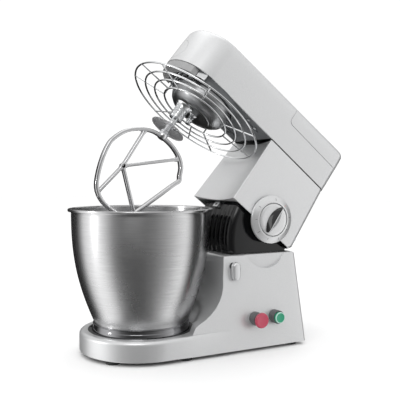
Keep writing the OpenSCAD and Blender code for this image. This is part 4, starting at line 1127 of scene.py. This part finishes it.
class MIXER_OT_lever(Builder):
    """Rounded lever that frees the head"""
    bl_idname = "mixer.lever"
    bl_label = "Head lever"

    def build(self, sizes, mat):
        y = -(ped_half(LEVER_Z - 20) + 1)
        r, high, length = 7.5, LEVER_Z + 1, 31.5
        low = high - length + 2 * r
        rings = []
        for depth, inset in ((0, 0.8), (-0.8, 0.0), (-5.5, 0.0), (-7.6, 0.7), (-8.7, 2.0), (-9.0, 3.8)):
            outline = arc(LEVER_X, high, r - inset, 0, 180, 16) + arc(LEVER_X, low, r - inset, 180, 360, 16)
            rings.append([(x, y + depth, z) for x, z in outline])
        grip = rings_mesh("grip", rings, PLACED, sharp=60)
        shaft = tube("shaft", [(LEVER_X, y + 0.5, LEVER_Z), (LEVER_X, -45, LEVER_Z)], 4.0, PLACED, sides=32)
        piece(join("lever_grip", [grip, shaft]), "lever", "silver_trim", mat["trim"], "head_lever")


# the finish of each piece that keeps the frame's own shape
KEPT = {
    "base_plate": "dark", "rubber_feet": "rubber", "base_screws": "steel", "bowl_seat": "dark",
    "hinge_pin": "steel", "switch_block": "dark", "power_board": "board", "mains_filter": "dark",
    "cord_inlet": "rubber", "lever_bush": "dark", "latch_hook": "steel", "latch_spring": "steel",
    "seam_gasket": "rubber", "hinge_brackets": "cast", "head_chassis": "cast",
    "gearbox_housing": "cast", "ring_gear": "gear", "gearbox_bearings": "steel",
    "layshaft_bearings": "steel", "stator": "iron", "motor_bells": "cast", "motor_bearings": "steel",
    "brush_gear": "coils", "speed_board": "board", "outlet_deck": "dark", "head_screws": "steel",
    "drive_belt": "rubber", "slow_outlet": "steel", "latch_strike": "steel", "knob_shaft": "steel",
    "hub_shaft": "steel", "hub_gear": "gear", "spindle_bushes": "bronze", "planet_pinion": "gear",
    "layshaft": "gear", "armature": "iron",
}


class MIXER_OT_inner_pieces(Builder):
    """Finishes for the pieces whose shape comes from the frame"""
    bl_idname = "mixer.inner_pieces"
    bl_label = "Drive, motor and fittings"

    def build(self, sizes, mat):
        for node, finish in KEPT.items():
            obj = frame["nodes"][node]
            if not obj.material_slots:
                obj.data.materials.append(mat[finish])
            for slot in obj.material_slots:
                slot.material = mat[finish]


# ---- stage ----
# the camera: its place from the bowl's axis in metres, its direction in degrees, its lens in millimetres
CAMERA_PLACE = (-0.4467, -1.0129, 0.2955)
CAMERA_HEADING, CAMERA_PITCH = 28.99, 2.03
CAMERA_LENS = 58.608

# brightness of the studio round the mixer by bearing: dark flags behind and beside it, softboxes between them
STUDIO_RING = ((-180, 1.0), (-170, 0.6), (-160, 0.25), (-145, 0.12), (-125, 0.09), (-108, 0.12), (-90, 0.2),
               (-76, 0.34), (-62, 0.55), (-46, 0.9), (-34, 1.1), (-25, 0.7), (-16, 0.04), (30, 0.02),
               (90, 0.02), (118, 0.04), (128, 0.3), (140, 1.0), (155, 1.25), (172, 1.2), (180, 1.0))


class MIXER_OT_stage(Builder):
    """Pale floor, soft studio light and the camera"""
    bl_idname = "mixer.stage"
    bl_label = "Stage"

    def build(self, sizes, mat):
        floor = new_mesh("floor", [(-9, -9, 0), (9, -9, 0), (9, 9, 0), (-9, 9, 0)], [(0, 1, 2, 3)])
        m = Nodes("pale_floor")
        ramp = m.tint(m.noise(3.0, 2.0), "Fac", (0.93, 0.93, 0.93), (0.95, 0.95, 0.95))
        m.join(ramp, "Color", m.shader, "Base Color")
        m.set(Roughness=0.9, Specular_IOR_Level=0.0)
        floor.data.materials.append(m.material)
        floor.visible_glossy = False
        self.world()
        self.lights()
        self.camera()
        view = bpy.context.scene.view_settings
        view.view_transform = "Standard"
        view.look = "None"
        view.exposure = 0.0

    @staticmethod
    def world():
        """A ring of softboxes that only glossy rays see, and an even light for the rest."""
        world = bpy.data.worlds.new("studio")
        world.cycles.sampling_method = "NONE"
        bpy.context.scene.world = world
        world.use_nodes = True
        tree = world.node_tree
        tree.nodes.clear()
        new, link = tree.nodes.new, tree.links.new
        out = new("ShaderNodeOutputWorld")
        coords = new("ShaderNodeTexCoord")
        split = new("ShaderNodeSeparateXYZ")
        link(coords.outputs["Generated"], split.inputs["Vector"])
        angle = new("ShaderNodeMath")
        angle.operation = "ARCTAN2"
        link(split.outputs["Y"], angle.inputs[0])
        link(split.outputs["X"], angle.inputs[1])
        turn = new("ShaderNodeMapRange")
        turn.inputs["From Min"].default_value = -math.pi
        turn.inputs["From Max"].default_value = math.pi
        link(angle.outputs[0], turn.inputs["Value"])
        ramp = new("ShaderNodeValToRGB")
        elements = ramp.color_ramp.elements
        elements.remove(elements[-1])
        for i, (bearing, level) in enumerate(STUDIO_RING):
            e = elements[0] if i == 0 else elements.new((bearing + 180) / 360)
            e.position = (bearing + 180) / 360
            e.color = (level, level, level, 1)
        link(turn.outputs["Result"], ramp.inputs["Fac"])
        high = new("ShaderNodeMapRange")
        high.inputs["From Min"].default_value = 0.2
        high.inputs["From Max"].default_value = 0.46
        link(split.outputs["Z"], high.inputs["Value"])
        blend = new("ShaderNodeMixRGB")
        link(high.outputs["Result"], blend.inputs["Fac"])
        link(ramp.outputs["Color"], blend.inputs["Color1"])
        blend.inputs["Color2"].default_value = (0.75, 0.75, 0.75, 1)
        around = new("ShaderNodeBackground")
        link(blend.outputs["Color"], around.inputs["Color"])
        around.inputs["Strength"].default_value = 1.0
        seen = new("ShaderNodeBackground")
        seen.inputs["Color"].default_value = (1, 1, 1, 1)
        seen.inputs["Strength"].default_value = 1.07
        path = new("ShaderNodeLightPath")
        plain = new("ShaderNodeMath")
        plain.operation = "SUBTRACT"
        plain.use_clamp = True
        plain.inputs[0].default_value = 1.0
        link(path.outputs["Is Glossy Ray"], plain.inputs[1])
        mix = new("ShaderNodeMixShader")
        link(plain.outputs[0], mix.inputs["Fac"])
        link(around.outputs[0], mix.inputs[1])
        link(seen.outputs[0], mix.inputs[2])
        link(mix.outputs[0], out.inputs["Surface"])

    @staticmethod
    def lights():
        """Square lamps, all turned to the mixer's middle."""
        middle = Vector((0, 0, 0.27))
        for name, place, size, power in (
            ("key", (-1.5, -1.9, 1.9), 1.3, 9),
            ("top", (0.1, 0.2, 2.3), 1.8, 7),
            ("rear", (1.6, 1.6, 1.5), 1.3, 4),
            ("strip", (-2.2, 0.45, 0.5), 0.25, 6),
        ):
            data = bpy.data.lights.new(name, "AREA")
            data.shape = "SQUARE"
            data.size = size
            data.energy = power
            lamp = bpy.data.objects.new(name, data)
            bpy.context.scene.collection.objects.link(lamp)
            lamp.location = place
            lamp.rotation_euler = (middle - Vector(place)).to_track_quat("-Z", "Y").to_euler()

    @staticmethod
    def camera():
        """A level camera in front of the bowl, on the side of the controls."""
        data = bpy.data.cameras.new("camera")
        data.sensor_width = 36
        data.lens = CAMERA_LENS
        data.clip_start, data.clip_end = 0.05, 40
        cam = bpy.data.objects.new("camera", data)
        bpy.context.scene.collection.objects.link(cam)
        cam.location = (ROW_X + CAMERA_PLACE[0], CAMERA_PLACE[1], CAMERA_PLACE[2])
        heading, pitch = math.radians(CAMERA_HEADING), math.radians(CAMERA_PITCH)
        look = Vector((math.sin(heading) * math.cos(pitch), math.cos(heading) * math.cos(pitch),
                       -math.sin(pitch)))
        cam.rotation_euler = look.to_track_quat("-Z", "Y").to_euler()
        bpy.context.scene.camera = cam


class MIXER_PT_panel(bpy.types.Panel):
    """The mixer's pieces"""
    bl_idname = "MIXER_PT_panel"
    bl_label = "Stand mixer"
    bl_space_type = "VIEW_3D"
    bl_region_type = "UI"
    bl_category = "Mixer"

    def draw(self, context):
        for operator in OPERATORS:
            self.layout.operator(operator.bl_idname)
        for group in (context.scene.mixer_sizes, context.scene.mixer_colours):
            box = self.layout.box()
            for key in group.__annotations__:
                box.prop(group, key)


OPERATORS = (MIXER_OT_base, MIXER_OT_neck, MIXER_OT_bowl, MIXER_OT_column, MIXER_OT_head,
             MIXER_OT_underside, MIXER_OT_hub, MIXER_OT_beater, MIXER_OT_guard, MIXER_OT_dial,
             MIXER_OT_buttons, MIXER_OT_lever, MIXER_OT_inner_pieces, MIXER_OT_stage)
CLASSES = (MixerSizes, MixerColours, *OPERATORS, MIXER_PT_panel)


def register():
    """Adds the classes and the two groups of values."""
    for c in CLASSES:
        bpy.utils.register_class(c)
    bpy.types.Scene.mixer_sizes = PointerProperty(type=MixerSizes)
    bpy.types.Scene.mixer_colours = PointerProperty(type=MixerColours)


def unregister():
    """Takes away what register adds."""
    del bpy.types.Scene.mixer_sizes
    del bpy.types.Scene.mixer_colours
    for c in reversed(CLASSES):
        bpy.utils.unregister_class(c)


def main():
    """Builds every piece and the stage."""
    register()
    for operator in OPERATORS:
        group, name = operator.bl_idname.split(".")
        getattr(getattr(bpy.ops, group), name)()


if __name__ == "__main__":
    main()
